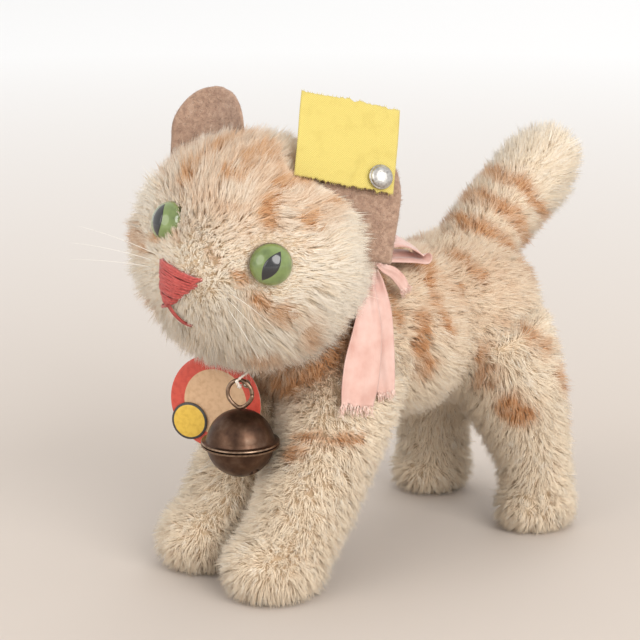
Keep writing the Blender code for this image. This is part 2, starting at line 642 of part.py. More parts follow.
def build_ribbon():
    around = [math.radians(45 * k) for k in range(8)]
    section = [(BAND_R + BAND_HALF_WIDTH * math.cos(a), BAND_HALF_HEIGHT * math.sin(a)) for a in around]
    turned(section, along_neck(BAND_AT), NECK_AXIS, 28, "ribbon_band", SATIN)
    finished(ellipsoid(KNOT_AT, KNOT_R, "ribbon_knot", rings=8, sides=12), SATIN)
    side = Vector((0.15, 1.0, 0.1))
    front = [((14.6, -13.0, 60.6), 3.6), ((17.0, -14.4, 57.0), 6.0), ((18.7, -15.6, 52.0), 8.0)]
    front += [((19.6, -16.6, 46.0), RIBBON_W), ((20.1, -17.2, 41.0), 8.2), ((20.4, -17.2, 36.6), 7.4)]
    strip([(c, side, w) for c, w in front], RIBBON_T, "ribbon_tail_front", SATIN)
    under = [((15.0, -10.6, 59.6), 3.0), ((17.0, -11.4, 54.6), 4.6), ((18.0, -11.8, 48.6), 5.0)]
    under += [((18.4, -11.6, 43.0), 4.8), ((18.7, -11.2, 38.4), 3.6)]
    strip([(c, side, w) for c, w in under], RIBBON_T, "ribbon_tail_under", SATIN)
    across = Vector((0.95, -0.1, -0.3))
    rear = [((10.0, -5.0, 66.2), 4.0), ((9.4, -2.4, 67.0), 6.2), ((9.0, 1.0, 67.2), 7.2)]
    rear += [((9.0, 5.0, 65.9), 7.0), ((9.3, 8.0, 64.2), 6.6), ((9.6, 8.2, 63.2), 6.6)]
    rear += [((9.7, 4.2, 63.6), 6.4), ((9.9, -0.8, 64.0), 5.4), ((10.2, -4.4, 63.6), 3.4)]
    strip([(c, across, w) for c, w in rear], RIBBON_T, "ribbon_loop_rear", SATIN)
    thin_end = [((13.0, -7.2, 62.4), 1.6), ((13.8, -5.2, 61.2), 2.2)]
    thin_end += [((14.4, -3.6, 59.4), 2.4), ((14.6, -2.6, 57.6), 1.8)]
    strip([(c, side, w) for c, w in thin_end], RIBBON_T, "ribbon_tail_rear", SATIN)


def bell_half(sign, name):
    """Half of the bell: a thin bowl whose rim turns out into a flange."""
    steps = [math.radians(a) for a in (90, 68, 45, 22)]
    outer = [(BELL_R * math.cos(a), sign * BELL_R * math.sin(a)) for a in steps]
    inner = [((BELL_R - BELL_WALL) * math.cos(a), sign * (BELL_R - BELL_WALL) * math.sin(a)) for a in steps]
    low = sign * GAP / 2
    high = sign * (GAP / 2 + FLANGE_T)
    rim = [(BELL_R, high + sign * 0.3), (FLANGE_R, high), (FLANGE_R, low), (BELL_R - BELL_WALL, low)]
    outer[0], inner[0] = (0, outer[0][1]), (0, inner[0][1])
    return turned([*outer, *rim, *reversed(inner)], BELL_AT, (0, 0, 1), 24, name, BRASS)


def build_bell():
    bell_half(1, "bell_upper_shell")
    lower = bell_half(-1, "bell_lower_shell")
    slot = 1.0
    block = [(x, y, z) for x in (-12, 12) for y in (-slot / 2, slot / 2) for z in (-12, -2.6)]
    faces = [(0, 1, 3, 2), (4, 5, 7, 6), (0, 1, 5, 4), (2, 3, 7, 6), (0, 2, 6, 4), (1, 3, 7, 5)]
    combined(lower, mesh_object("slot", [Vector(p) + BELL_AT for p in block], faces), "DIFFERENCE")
    finished(lower, BRASS)
    resting = BELL_AT + Vector((0, 0, -BELL_R + BELL_WALL + PELLET_R + 0.3))
    finished(ellipsoid(resting, [PELLET_R] * 3, "bell_pellet", 8, 12), STEEL)
    ring_at = RING_TOP - Vector((0, 0, RING_R))
    around = [math.radians(45 * k) for k in range(8)]
    section = [(RING_R + RING_WIRE * math.cos(a), RING_WIRE * math.sin(a)) for a in around]
    turned(section, ring_at, RING_NORMAL, 24, "bell_ring", BRASS)
    past = RING_WIRE + THREAD_R + GAP
    hook = [(past, 0.5), (past, -0.4), (0.6 * past, -1.0), (0, -past - 0.1), (-0.7 * past, -0.9)]
    loop = [RING_TOP + RING_NORMAL * out + Vector((0, 0, rise)) for out, rise in hook]
    wire([THREAD_TOP, THREAD_OVER, *loop], THREAD_R, "bell_thread", THREAD)


def on_tag(way, out):
    """The point of the tag's back face at this distance from its centre, towards way."""
    flat = (way - TAG_NORMAL * TAG_NORMAL.dot(way)).normalized()
    return TAG_AT + flat * out


def build_tag():
    hole_at = on_tag(TAG_HOLE_WAY, TAG_HOLE_OUT)
    card = [(0, 0), (TAG_R, 0), (TAG_R, TAG_T), (0, TAG_T)]
    tag = turned(card, TAG_AT, TAG_NORMAL, 32, "chest_tag_disc")
    hole = cylinder(hole_at - TAG_NORMAL * 3, hole_at + TAG_NORMAL * 3, TAG_HOLE_R, "tag_hole", sides=12)
    finished(combined(tag, hole, "DIFFERENCE"), CARD)
    seal_at = on_tag(SEAL_WAY, SEAL_OUT) + TAG_NORMAL * (TAG_T + GAP)
    seal = [(0, 0), (SEAL_R, 0), (SEAL_R, TAG_T), (0, TAG_T)]
    turned(seal, seal_at, TAG_NORMAL, 24, "chest_tag_seal", SEAL)
    route = [TAG_THREAD_TOP] + [hole_at + TAG_NORMAL * out for out in (-2.4, -0.6, 1.2)]
    wire(route, THREAD_R, "chest_tag_thread", THREAD)


# How it moves


def pivot(name, at, carrier=None):
    """An empty on a joint's axis, hung on the pivot that carries it."""
    made = bpy.data.objects.new(name, None)
    made.parent = carrier
    made["at"] = at
    made.location = MM * (at - Vector(carrier["at"] if carrier else (0, 0, 0)))
    bpy.context.scene.collection.objects.link(made)
    return made


def hang_pieces():
    """Hangs each piece on its joint's pivot, with the whole cat's footprint over the world's origin."""
    pieces = list(bpy.context.scene.collection.objects)
    cat = pivot("cat_frame", Vector((0, 0, 0)))
    cat.location = (MM * SHIFT[0], MM * SHIFT[1], 0)
    head = pivot("head_pivot", HEAD_CENTRE, cat)
    thread = pivot("thread_pivot", THREAD_TOP, cat)
    bell = pivot("bell_pivot", RING_TOP, thread)
    pivots = {
        "ear_flag": pivot("flag_pivot", BUTTON_AT, head),
        "chest_tag_disc": pivot("tag_pivot", on_tag(TAG_HOLE_WAY, TAG_HOLE_OUT), cat),
        "bell_thread": thread,
        "bell_pellet": pivot("pellet_pivot", BELL_AT, bell),
    }
    pivots["chest_tag_seal"] = pivots["chest_tag_disc"]
    for piece in pieces:
        group = piece.name.split("_")[0]
        over = cat
        if group in ("head", "eye", "nose", "mouth", "whisker", "ear") or piece.name == "neck_disc_head":
            over = head
        elif group == "bell":
            over = bell
        over = pivots.get(piece.name, over)
        piece.parent = over
        piece.location = -MM * Vector(over["at"])


for old in list(bpy.data.objects):
    bpy.data.objects.remove(old)

MOHAIR = material("mohair", (0.68, 0.54, 0.40), 0.95)
WOOL = material("wool_filling", (0.80, 0.74, 0.62), 1.0)
FELT_FINISH = material("felt", (0.38, 0.26, 0.20), 0.95)
GLASS = material("green_glass", (0.21, 0.35, 0.08), 0.05)
STEEL = material("steel", (0.62, 0.61, 0.58), 0.3, 1.0)
COTTON = material("coral_cotton", (0.65, 0.12, 0.09), 0.7)
NYLON = material("clear_thread", (0.85, 0.84, 0.80), 0.2)
SATIN = material("pink_satin", (0.84, 0.50, 0.45), 0.4)
WOVEN = material("yellow_woven", (0.86, 0.68, 0.13), 0.8)
BRASS = material("dark_brass", (0.16, 0.08, 0.05), 0.35, 1.0)
THREAD = material("white_thread", (0.85, 0.80, 0.74), 0.8)
CARD = material("printed_card", (0.58, 0.36, 0.20), 0.6)
SEAL = material("yellow_card", (0.80, 0.52, 0.07), 0.6)
BOARD = material("fibre_board", (0.40, 0.28, 0.16), 0.8)

HEAD = head_matrix()
build_head()
build_face()
build_ears()
build_button_and_flag()
build_body()
build_neck_joint()
build_tail()
build_ribbon()
build_bell()
build_tag()
hang_pieces()
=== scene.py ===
"""The looks of a small standing plush cat: mohair pile, felt ears, glass eyes, ribbon, bell and card tag.

Lengths are in millimetres of a working frame whose origin is under the chest, as in the solid model.
The cat faces -Y and +X is its left. mesh_piece and world_point carry them to the CAD's frame, in metres.
"""

import json
import math

import bpy
import numpy as np
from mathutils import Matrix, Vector, kdtree, noise


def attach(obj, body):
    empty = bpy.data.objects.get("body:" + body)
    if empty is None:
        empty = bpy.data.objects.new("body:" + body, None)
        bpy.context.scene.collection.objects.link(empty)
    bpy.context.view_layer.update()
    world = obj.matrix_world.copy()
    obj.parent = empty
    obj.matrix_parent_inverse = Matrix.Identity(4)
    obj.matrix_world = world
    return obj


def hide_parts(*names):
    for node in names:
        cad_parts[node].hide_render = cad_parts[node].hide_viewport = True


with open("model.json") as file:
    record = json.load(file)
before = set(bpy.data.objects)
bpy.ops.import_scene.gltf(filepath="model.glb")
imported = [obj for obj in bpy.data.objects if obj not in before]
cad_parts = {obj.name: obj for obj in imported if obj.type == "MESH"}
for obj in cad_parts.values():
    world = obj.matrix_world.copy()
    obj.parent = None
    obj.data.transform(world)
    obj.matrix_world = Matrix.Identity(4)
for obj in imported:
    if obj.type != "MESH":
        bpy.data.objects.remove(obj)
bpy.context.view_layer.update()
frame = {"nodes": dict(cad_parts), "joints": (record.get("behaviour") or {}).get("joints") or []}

MM = 0.001
JOINT_AT = {joint["name"]: np.array(joint["pos_m"]) / MM for joint in frame["joints"]}
JOINT_AXIS = {joint["name"]: np.array(joint["axis"]) for joint in frame["joints"]}

# Head, in the solid model's own measures
HEAD_CENTRE = np.array((0.0, -30.0, 67.0))
HEAD_RADII = np.array((20.4, 19.6, 19.6))
MUZZLE_AT, MUZZLE_RISE, MUZZLE_SPREAD = (0.0, 0.95, -0.31), 1.8, 0.42
NECK_FACE, SHOULDER, NECK_R = 17.5, 19.4, 10.4

# Body skin and legs: (centre, radii) of balls and (x, y, z, radius) along limbs
TRUNK = [
    ((0, -12.0, 47.0), (14.0, 14.5, 14.5)),
    ((0, 6.0, 44.9), (14.6, 20.0, 16.0)),
    ((0, 25.0, 45.0), (16.0, 16.5, 16.2)),
]
FRONT_LEG = [(7.5, -11, 41, 9.8), (9.2, -17.5, 29, 9.2), (10.2, -25, 17, 8.4), (10.6, -30.5, 8, 7.8)]
FRONT_FOOT = ((10.8, -33.2, 5.9), (8.0, 9.4, 7.3))
HIND_LEG = [(9.5, 27, 42, 10.5), (12.6, 30.5, 30, 9.2), (15.2, 33.5, 18, 6.6), (16.3, 35.0, 7, 6.0)]
HIND_FOOT = ((16.4, 34.4, 4.6), (6.3, 7.8, 5.8))
TAIL = [
    (0, 26, 55, 5.4), (0, 33, 61.5, 5.7), (0, 40.5, 67.5, 5.9), (0, 47.5, 72.5, 5.5), (0, 51.6, 75.4, 4.4),
]

# Face, ears, button and flag
EYE_WAYS = {"left": (13.0, 14.4, 4.2), "right": (-9.2, 16.9, 3.4)}
EYE_R, EYE_DEPTH = 4.1, 3.3
WHISKER_LENGTH, WHISKER_SAG = 17.0, 1.8
EAR_WIDTH, EAR_HEIGHT, EAR_ROOT = 16.0, 23.0, 5.0
EAR_STRAIGHT, EAR_ROUNDED = 0.58, 0.42  # shares of an ear's height
FLAG_WIDTH, FLAG_LENGTH = 20.4, 16.6

# Bell and tag
THREAD_TOP = np.array((4.2, -27.2, 44.5))
THREAD_R, TWIST_PITCH, STRAND_OUT, STRAND_R = 0.32, 1.6, 0.16, 0.17
BELL_R, BELL_WALL, FLANGE_R, RING_R, RING_WIRE = 6.7, 0.5, 7.7, 2.5, 0.42
SLOT_REACH, SLOT_HALF, SLOT_HOLE_R = 4.2, 0.5, 1.0
TAG_R, TAG_T = 9.7, 0.5

# The body skin's grain when its shapes are joined, and its height over the floor
VOXEL, SOLE_HEIGHT = 0.8, 0.25

ORIGIN = JOINT_AT["thread_swing"] - THREAD_TOP
NECK_AXIS = np.array((0.0, -1.0, 1.0)) / math.sqrt(2)


def unit(way):
    way = np.asarray(way, float)
    return way / np.linalg.norm(way, axis=-1, keepdims=True)


def across_to(way, normal):
    """way with its share along normal taken out, at length 1."""
    way, normal = np.asarray(way, float), np.asarray(normal, float)
    return unit(way - (way * normal).sum(-1, keepdims=True) * normal)


HEAD_LEFT = unit((0.919, 0.271, -0.287))
HEAD_FRONT = across_to((0.311, -0.945, 0.105), HEAD_LEFT)
HEAD = np.stack((HEAD_LEFT, HEAD_FRONT, np.cross(HEAD_LEFT, -HEAD_FRONT)), axis=1)


def world_point(point):
    return Vector((np.asarray(point, float) + ORIGIN) * MM)


def working_points(obj):
    """The vertices and vertex normals of an object's mesh, in the working frame."""
    count = len(obj.data.vertices)
    places, normals = np.empty(count * 3), np.empty(count * 3)
    obj.data.vertices.foreach_get("co", places)
    obj.data.vertices.foreach_get("normal", normals)
    return places.reshape(-1, 3) / MM - ORIGIN, normals.reshape(-1, 3)


# Making and placing pieces


def mesh_piece(name, points, faces, look, body=None, replaces=(), slot=None, smooth=True):
    """A mesh piece from points in the working frame. look is a material, or a list of them."""
    mesh = bpy.data.meshes.new(name)
    places = (np.asarray(points, float).reshape(-1, 3) + ORIGIN) * MM
    mesh.from_pydata(places.tolist(), [], [tuple(int(c) for c in face) for face in faces])
    for each in look if isinstance(look, list) else [look]:
        mesh.materials.append(each)
    if smooth:
        mesh.shade_smooth()
    mesh.update()
    made = bpy.data.objects.new(name, mesh)
    bpy.context.scene.collection.objects.link(made)
    if body:
        place(made, body, replaces)
    return made


def place(made, body, replaces=()):
    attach(made, body)
    if replaces:
        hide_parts(*replaces)


def with_modifier(made, kind, **settings):
    """Adds a modifier and applies it."""
    change = made.modifiers.new(kind.lower(), kind)
    for key, value in settings.items():
        setattr(change, key, value)
    looks = list(made.data.materials)
    graph = bpy.context.evaluated_depsgraph_get()
    made.data = bpy.data.meshes.new_from_object(made.evaluated_get(graph))
    made.modifiers.clear()
    made.data.materials.clear()
    for each in looks:
        made.data.materials.append(each)
    return made


def grid_faces(rows, columns, start=0, wrap=False):
    """The quads of a grid of points, row by row. With wrap, the last column meets the first."""
    faces = []
    for i in range(rows - 1):
        for j in range(columns if wrap else columns - 1):
            k = (j + 1) % columns
            faces.append((start + i * columns + j, start + i * columns + k,
                          start + (i + 1) * columns + k, start + (i + 1) * columns + j))
    return faces


def slab(front, back):
    """A closed sheet between two grids of points, whose front faces along rows cross columns."""
    rows, columns = front.shape[:2]
    count = rows * columns
    faces = grid_faces(rows, columns)
    faces += [tuple(count + c for c in reversed(face)) for face in grid_faces(rows, columns)]
    rim = [j for j in range(columns)] + [i * columns + columns - 1 for i in range(1, rows)]
    rim += [(rows - 1) * columns + j for j in range(columns - 2, -1, -1)]
    rim += [i * columns for i in range(rows - 2, 0, -1)]
    for a, b in zip(rim, rim[1:] + rim[:1]):
        faces.append((b, a, count + a, count + b))
    return np.concatenate((front.reshape(-1, 3), back.reshape(-1, 3))), faces


def smooth_path(points, per_span=6):
    """Points on a smooth curve through the given rows of numbers."""
    points = np.asarray(points, float)
    ends = np.concatenate((2 * points[:1] - points[1:2], points, 2 * points[-1:] - points[-2:-1]))
    out = []
    for a, b, c, d in zip(ends, ends[1:], ends[2:], ends[3:]):
        for k in range(per_span):
            t = k / per_span
            bent = (2 * a - 5 * b + 4 * c - d) * t**2 + (3 * b - a - 3 * c + d) * t**3
            out.append(0.5 * (2 * b + (c - a) * t + bent))
    return np.array(out + [points[-1]])


def frames_along(path):
    """For each point of a path, the direction along it and two directions across it that don't twist."""
    along = unit(np.gradient(path, axis=0))
    side = across_to((0.12, 0.35, 0.93) if abs(along[0][2]) < 0.8 else (1.0, 0.1, 0.0), along[0])
    sides = []
    for way in along:
        side = across_to(side, way)
        sides.append(side)
    sides = np.array(sides)
    return along, sides, np.cross(along, sides)


def spokes(sides, first, second):
    """Directions evenly round a circle, from first towards second."""
    turns = np.arange(sides) * 2 * math.pi / sides
    return np.outer(np.cos(turns), first) + np.outer(np.sin(turns), second)


def tube(path, radii, sides=10):
    """Points and faces of a round tube with closed ends."""
    path = np.asarray(path, float)
    radii = np.broadcast_to(radii, len(path))
    _, first, second = frames_along(path)
    rings = [centre + r * spokes(sides, a, b) for centre, r, a, b in zip(path, radii, first, second)]
    points = np.concatenate(rings)
    faces = grid_faces(len(path), sides, wrap=True)
    faces += [tuple(reversed(range(sides))), tuple(range(len(points) - sides, len(points)))]
    return points, faces


def joined(shapes):
    """Several (points, faces) as one."""
    points, faces, start = [], [], 0
    for some_points, some_faces in shapes:
        points.append(np.asarray(some_points).reshape(-1, 3))
        faces += [tuple(start + c for c in face) for face in some_faces]
        start += len(points[-1])
    return np.concatenate(points), faces


def turned(profile, centre, axis, sides=48):
    """The solid swept by a closed profile of (radius, height) as it turns about an axis through centre."""
    axis = unit(axis)
    first = across_to((1.0, 0.02, 0.03) if abs(axis[0]) < 0.9 else (0.0, 1.0, 0.0), axis)
    profile = np.array(profile, float)
    out = spokes(sides, first, np.cross(axis, first))
    points = centre + profile[:, None, :1] * out + profile[:, None, 1:] * axis
    points = np.concatenate((points, points[:1]))
    faces = grid_faces(len(profile) + 1, sides, wrap=True)
    return points.reshape(-1, 3), faces


def welded(made):
    return with_modifier(made, "WELD", merge_threshold=1e-6)


def cut_out(made, shape):
    """Takes a closed shape out of a piece."""
    cutter = mesh_piece("cutter", *shape, made.data.materials[0], smooth=False)
    with_modifier(made, "BOOLEAN", operation="DIFFERENCE", object=cutter)
    bpy.data.objects.remove(cutter)


def creased(made, degrees):
    """Smooth shading, but for edges sharper than this."""
    made.data.shade_smooth()
    made.data.set_sharp_from_angle(angle=math.radians(degrees))


def give_looks(made, centre, axis, which):
    """Gives each face the material that which picks from its height along an axis and distance from it."""
    for face in made.data.polygons:
        at = np.array(face.center) / MM - ORIGIN - centre
        high = at @ axis
        face.material_index = which(high, np.linalg.norm(at - high * axis))


# Materials


def finish(name, colour, roughness, metallic=0.0, **sockets):
    made = bpy.data.materials.new(name)
    made.use_nodes = True
    shader = made.node_tree.nodes["Principled BSDF"]
    shader.inputs["Base Color"].default_value = (*colour, 1.0)
    shader.inputs["Roughness"].default_value = roughness
    shader.inputs["Metallic"].default_value = metallic
    for key, value in sockets.items():
        shader.inputs[key.replace("_", " ")].default_value = value
    return made


def add_node(made, kind, links=(), **settings):
    """A node with its inputs linked from other nodes' sockets or set to values."""
    new = made.node_tree.nodes.new(kind)
    for key, value in settings.items():
        setattr(new, key, value)
    for socket, value in dict(links).items():
        if isinstance(value, bpy.types.NodeSocket):
            made.node_tree.links.new(value, new.inputs[socket])
        else:
            new.inputs[socket].default_value = value
    return new


def sum_of(made, operation, *values):
    """One step of arithmetic on sockets or numbers."""
    return add_node(made, "ShaderNodeMath", dict(enumerate(values)), operation=operation).outputs[0]


def object_place(made):
    return add_node(made, "ShaderNodeTexCoord").outputs["Object"]


def noise_of(made, size, detail=3.0, stretch=(1, 1, 1)):
    """Noise whose features are about size millimetres across."""
    where = add_node(made, "ShaderNodeMapping", {"Vector": object_place(made), "Scale": stretch})
    links = {"Vector": where.outputs["Vector"], "Scale": 1 / (size * MM), "Detail": detail}
    return add_node(made, "ShaderNodeTexNoise", links).outputs["Fac"]


def ramp(made, fac, stops):
    """A colour ramp of (position, colour) stops."""
    new = add_node(made, "ShaderNodeValToRGB", {"Fac": fac})
    ramp_stops = new.color_ramp.elements
    for i, (where, colour) in enumerate(stops):
        stop = ramp_stops[i] if i < 2 else ramp_stops.new(where)
        stop.position = where
        stop.color = (*colour, 1.0)
    return new.outputs["Color"]


def coloured(made, socket):
    shader = made.node_tree.nodes["Principled BSDF"]
    made.node_tree.links.new(socket, shader.inputs["Base Color"])


def roughened(made, fac, low, high):
    spread = add_node(made, "ShaderNodeMapRange", {"Value": fac, "To Min": low, "To Max": high})
    shader = made.node_tree.nodes["Principled BSDF"]
    made.node_tree.links.new(spread.outputs["Result"], shader.inputs["Roughness"])


def bumped(made, height, depth, strength=1.0):
    """Bump from a height socket, depth millimetres from low to high."""
    links = {"Height": height, "Distance": depth * MM, "Strength": strength}
    new = add_node(made, "ShaderNodeBump", links)
    shader = made.node_tree.nodes["Principled BSDF"]
    made.node_tree.links.new(new.outputs["Normal"], shader.inputs["Normal"])


def surfaced(name, plain, roughness, metallic=0.0, tint=None, gloss=None, relief=None, **sockets):
    """A material that varies with noise, whose size in millimetres and detail come first in what follows.

    tint then gives stops of colour, gloss its lowest and highest roughness, and relief its depth.
    """
    made = finish(name, plain, roughness, metallic, **sockets)
    if tint:
        coloured(made, ramp(made, noise_of(made, *tint[:2]), tint[2]))
    if gloss:
        roughened(made, noise_of(made, *gloss[:2]), *gloss[2:])
    if relief:
        bumped(made, noise_of(made, *relief[:2]), relief[2])
    return made


def printed_card(name, light, dark):
    """Printed card with faint rubbing."""
    return surfaced(
        name, light, 0.5, gloss=(1.5, 4, 0.42, 0.62), relief=(0.7, 4, 0.02),
        tint=(0.9, 6, [(0.3, dark), (0.55, light)]), Coat_Weight=0.15, Coat_Roughness=0.3)


FUZZY = {"Sheen_Weight": 0.25, "Sheen_Roughness": 0.6}
GLASSY = {"Coat_Weight": 1.0, "Coat_Roughness": 0.02}

# The cloth the pile grows from, with a random tone from noise; kept darker than the pile as painted shade
# down among the hairs
BACKING_WITH_SHADE = surfaced(
    "mohair_backing_with_shade", (0.42, 0.30, 0.19), 0.95, relief=(0.35, 3, 0.15),
    tint=(1.6, 3, [(0.3, (0.46, 0.32, 0.20)), (0.7, (0.66, 0.52, 0.36))]))
FELT = surfaced(
    "ear_felt", (0.33, 0.21, 0.15), 0.95, relief=(0.28, 4, 0.22), **FUZZY,
    tint=(1.1, 5, [(0.3, (0.30, 0.18, 0.125)), (0.55, (0.41, 0.26, 0.18)), (0.75, (0.50, 0.34, 0.25))]))
FIBRE = finish("felt_fibre", (0.42, 0.27, 0.19), 0.95, **FUZZY)
WOOL = surfaced(
    "packed_wool", (0.78, 0.70, 0.56), 1.0, relief=(0.7, 5, 0.5),
    tint=(1.8, 5, [(0.3, (0.62, 0.53, 0.40)), (0.7, (0.86, 0.80, 0.68))]))
BOARD = surfaced(
    "fibre_board", (0.38, 0.26, 0.15), 0.8, relief=(0.4, 4, 0.08),
    tint=(1.0, 6, [(0.3, (0.26, 0.17, 0.09)), (0.7, (0.46, 0.33, 0.20))]))

# Clear-coated green glass, browner in blotches, and a dark ring at the bead's edge and over its back
EYE_GREEN = surfaced(
    "eye_green", (0.22, 0.30, 0.07), 0.12, gloss=(0.8, 3, 0.08, 0.22), **GLASSY,
    tint=(2.6, 2, [(0.25, (0.085, 0.125, 0.030)), (0.5, (0.155, 0.215, 0.058)), (0.8, (0.22, 0.29, 0.095))]))
EYE_RIM = surfaced(
    "eye_edge", (0.045, 0.055, 0.018), 0.15, gloss=(0.8, 3, 0.1, 0.25), Coat_Weight=1.0, Coat_Roughness=0.03)
PUPIL = surfaced("pupil_black", (0.004, 0.004, 0.005), 0.2, gloss=(0.5, 3, 0.12, 0.3), **GLASSY)

COTTON = surfaced(
    "coral_cotton", (0.62, 0.083, 0.064), 0.65, relief=(0.16, 3, 0.08), Sheen_Weight=0.3, Sheen_Roughness=0.5,
    tint=(0.5, 4, [(0.3, (0.33, 0.034, 0.026)), (0.55, (0.47, 0.064, 0.051)), (0.8, (0.60, 0.12, 0.098))]))
WHISKER = surfaced("whisker_thread", (0.78, 0.75, 0.68), 0.25, gloss=(2.0, 3, 0.2, 0.4))
THREAD = surfaced(
    "white_thread", (0.80, 0.72, 0.64), 0.8,
    tint=(0.5, 3, [(0.3, (0.66, 0.56, 0.47)), (0.7, (0.88, 0.82, 0.75))]))
SATIN = surfaced(
    "pink_satin", (0.80, 0.47, 0.40), 0.42, gloss=(1.2, 3, 0.34, 0.56), Sheen_Weight=0.5,
    Sheen_Roughness=0.35,
    tint=(3.4, 3, [(0.25, (0.60, 0.33, 0.27)), (0.5, (0.67, 0.42, 0.355)), (0.75, (0.73, 0.50, 0.435))]))
bumped(SATIN, noise_of(SATIN, 0.22, 2, (1, 1, 0.12)), 0.05)
FRAY = surfaced(
    "frayed_satin", (0.86, 0.66, 0.58), 0.7,
    tint=(0.6, 3, [(0.3, (0.72, 0.45, 0.37)), (0.7, (0.90, 0.74, 0.66))]))

NICKEL = surfaced(
    "nickel", (0.56, 0.54, 0.51), 0.3, 1.0, gloss=(0.35, 6, 0.2, 0.48), relief=(0.6, 3, 0.05),
    tint=(0.5, 6, [(0.3, (0.36, 0.34, 0.32)), (0.6, (0.60, 0.58, 0.55))]))
STEEL = surfaced("steel_wire", (0.50, 0.50, 0.50), 0.35, 1.0, gloss=(0.8, 3, 0.25, 0.5))
# Brown patina, and the brighter metal where the bell is rubbed
BRASS = surfaced(
    "dark_brass", (0.16, 0.085, 0.055), 0.36, 0.9, gloss=(1.0, 5, 0.27, 0.5), relief=(0.5, 4, 0.02),
    tint=(2.2, 5, [(0.28, (0.05, 0.026, 0.017)), (0.52, (0.09, 0.048, 0.03)), (0.78, (0.15, 0.095, 0.066))]))
RUBBED = surfaced(
    "rubbed_brass", (0.42, 0.28, 0.19), 0.3, 1.0, gloss=(0.6, 5, 0.22, 0.42),
    tint=(0.9, 5, [(0.3, (0.13, 0.08, 0.052)), (0.65, (0.34, 0.235, 0.165))]))

RED = printed_card("card_red", (0.60, 0.075, 0.045), (0.50, 0.05, 0.03))
TAN = printed_card("card_tan", (0.66, 0.43, 0.25), (0.56, 0.34, 0.19))
CARD_EDGE = printed_card("card_edge", (0.62, 0.50, 0.36), (0.50, 0.38, 0.26))
SEAL_YELLOW = printed_card("card_yellow", (0.72, 0.47, 0.06), (0.62, 0.38, 0.04))
OUTLINE = printed_card("card_outline", (0.05, 0.045, 0.04), (0.03, 0.03, 0.03))


# Skins: what the pile grows on


def head_surface(ways, rise=0.0):
    """Points of the head's skin in directions of its own left, front and up."""
    ways = unit(ways)
    ball = 1 / np.sqrt(((ways / HEAD_RADII) ** 2).sum(-1))
    off = np.arccos(np.clip(ways @ unit(MUZZLE_AT), -1, 1))
    radius = ball + MUZZLE_RISE * np.exp(-((off / MUZZLE_SPREAD) ** 2)) + rise
    world = ways @ HEAD.T
    down = np.maximum(-(world @ NECK_AXIS), 1e-3)
    radius = np.minimum(radius, (NECK_FACE + rise) / down)
    return HEAD_CENTRE + world * radius[..., None]


def on_face(left, up, rise):
    """The point of the head's skin, raised by rise, seen at (left, up) from straight in front of the head."""
    left, up = np.asarray(left, float), np.asarray(up, float)
    depth = np.sqrt(np.maximum(HEAD_RADII[1] ** 2 - left**2 - up**2, 0))
    return head_surface(np.stack((left, depth, up), axis=-1), rise)


def ball_ways(rings=72, sides=96):
    """Directions on a ball, in rows from bottom to top."""
    rise = (np.arange(rings + 1) / rings - 0.5) * math.pi
    turn = np.arange(sides) * 2 * math.pi / sides
    rise, turn = np.meshgrid(rise, turn, indexing="ij")
    return np.stack((np.cos(rise) * np.cos(turn), np.cos(rise) * np.sin(turn), np.sin(rise)), axis=-1)


def ball(centre, radii, rings=20, sides=32):
    ways = ball_ways(rings, sides)
    return np.asarray(centre) + ways.reshape(-1, 3) * radii, grid_faces(rings + 1, sides, wrap=True)


def rounded_limb(stations):
    """A tube through (x, y, z, radius) stations with a round far end."""
    path = smooth_path(stations, 5)
    end, radius = path[-1][:3], path[-1][3]
    way = unit(end - path[-2][:3])
    cap = [[*(end + way * radius * math.sin(a)), radius * math.cos(a)] for a in (0.35, 0.7, 1.05, 1.35, 1.54)]
    path = np.concatenate((path, cap))
    return tube(path[:, :3], path[:, 3], 28)


def from_neck(points):
    """How far points are below the head's centre along the neck's axis, and how far out from the axis."""
    below = (HEAD_CENTRE - points) @ NECK_AXIS
    return below, np.linalg.norm((points - HEAD_CENTRE) + below[:, None] * NECK_AXIS, axis=1)


def pressed_under_head(points):
    """Moves points of the body's skin down to the flat under the head and the shoulder around it."""
    below, out = from_neck(points)
    least = np.where(out < NECK_R, NECK_FACE + 0.5, SHOULDER)
    return points - NECK_AXIS * np.maximum(least - below, 0)[:, None]


def stuffed(made, body, replaces):
    """Places a skin on its body and hides the solid model's pieces it stands for."""
    place(made, body, replaces)
    return made


def head_skin():
    ways = ball_ways()
    faces = [tuple(reversed(face)) for face in grid_faces(*ways.shape[:2], wrap=True)]
    made = welded(mesh_piece("head_skin", head_surface(ways.reshape(-1, 3)), faces, BACKING_WITH_SHADE))
    return stuffed(made, "head", ["head_centre_gusset", "head_cover_left", "head_cover_right"])


def body_skin():
    shapes = [ball(centre, radii) for centre, radii in TRUNK]
    for side in (1, -1):
        for stations, (centre, radii) in ((FRONT_LEG, FRONT_FOOT), (HIND_LEG, HIND_FOOT)):
            shapes.append(rounded_limb([(side * x, y, z, r) for x, y, z, r in stations]))
            shapes.append(ball((side * centre[0], *centre[1:]), radii))
    path = np.array([HEAD_CENTRE - NECK_AXIS * d for d in (NECK_FACE, SHOULDER + 9)])
    shapes.append(tube(path, NECK_R, 40))
    made = mesh_piece("body_skin", *joined(shapes), BACKING_WITH_SHADE)
    with_modifier(made, "REMESH", mode="VOXEL", voxel_size=VOXEL * MM)
    with_modifier(made, "SMOOTH", iterations=12, factor=0.5)
    points, _ = working_points(made)
    points = pressed_under_head(points)
    points[:, 2] = np.maximum(points[:, 2], SOLE_HEIGHT)
    made.data.vertices.foreach_set("co", ((points + ORIGIN) * MM).ravel())
    made.data.shade_smooth()
    made.data.update()
    return stuffed(made, "trunk", ["body_side_left", "body_side_right", "belly_gusset"])


def tail_skin():
    return stuffed(mesh_piece("tail_skin", *rounded_limb(TAIL), BACKING_WITH_SHADE), "trunk", ["tail_cover"])
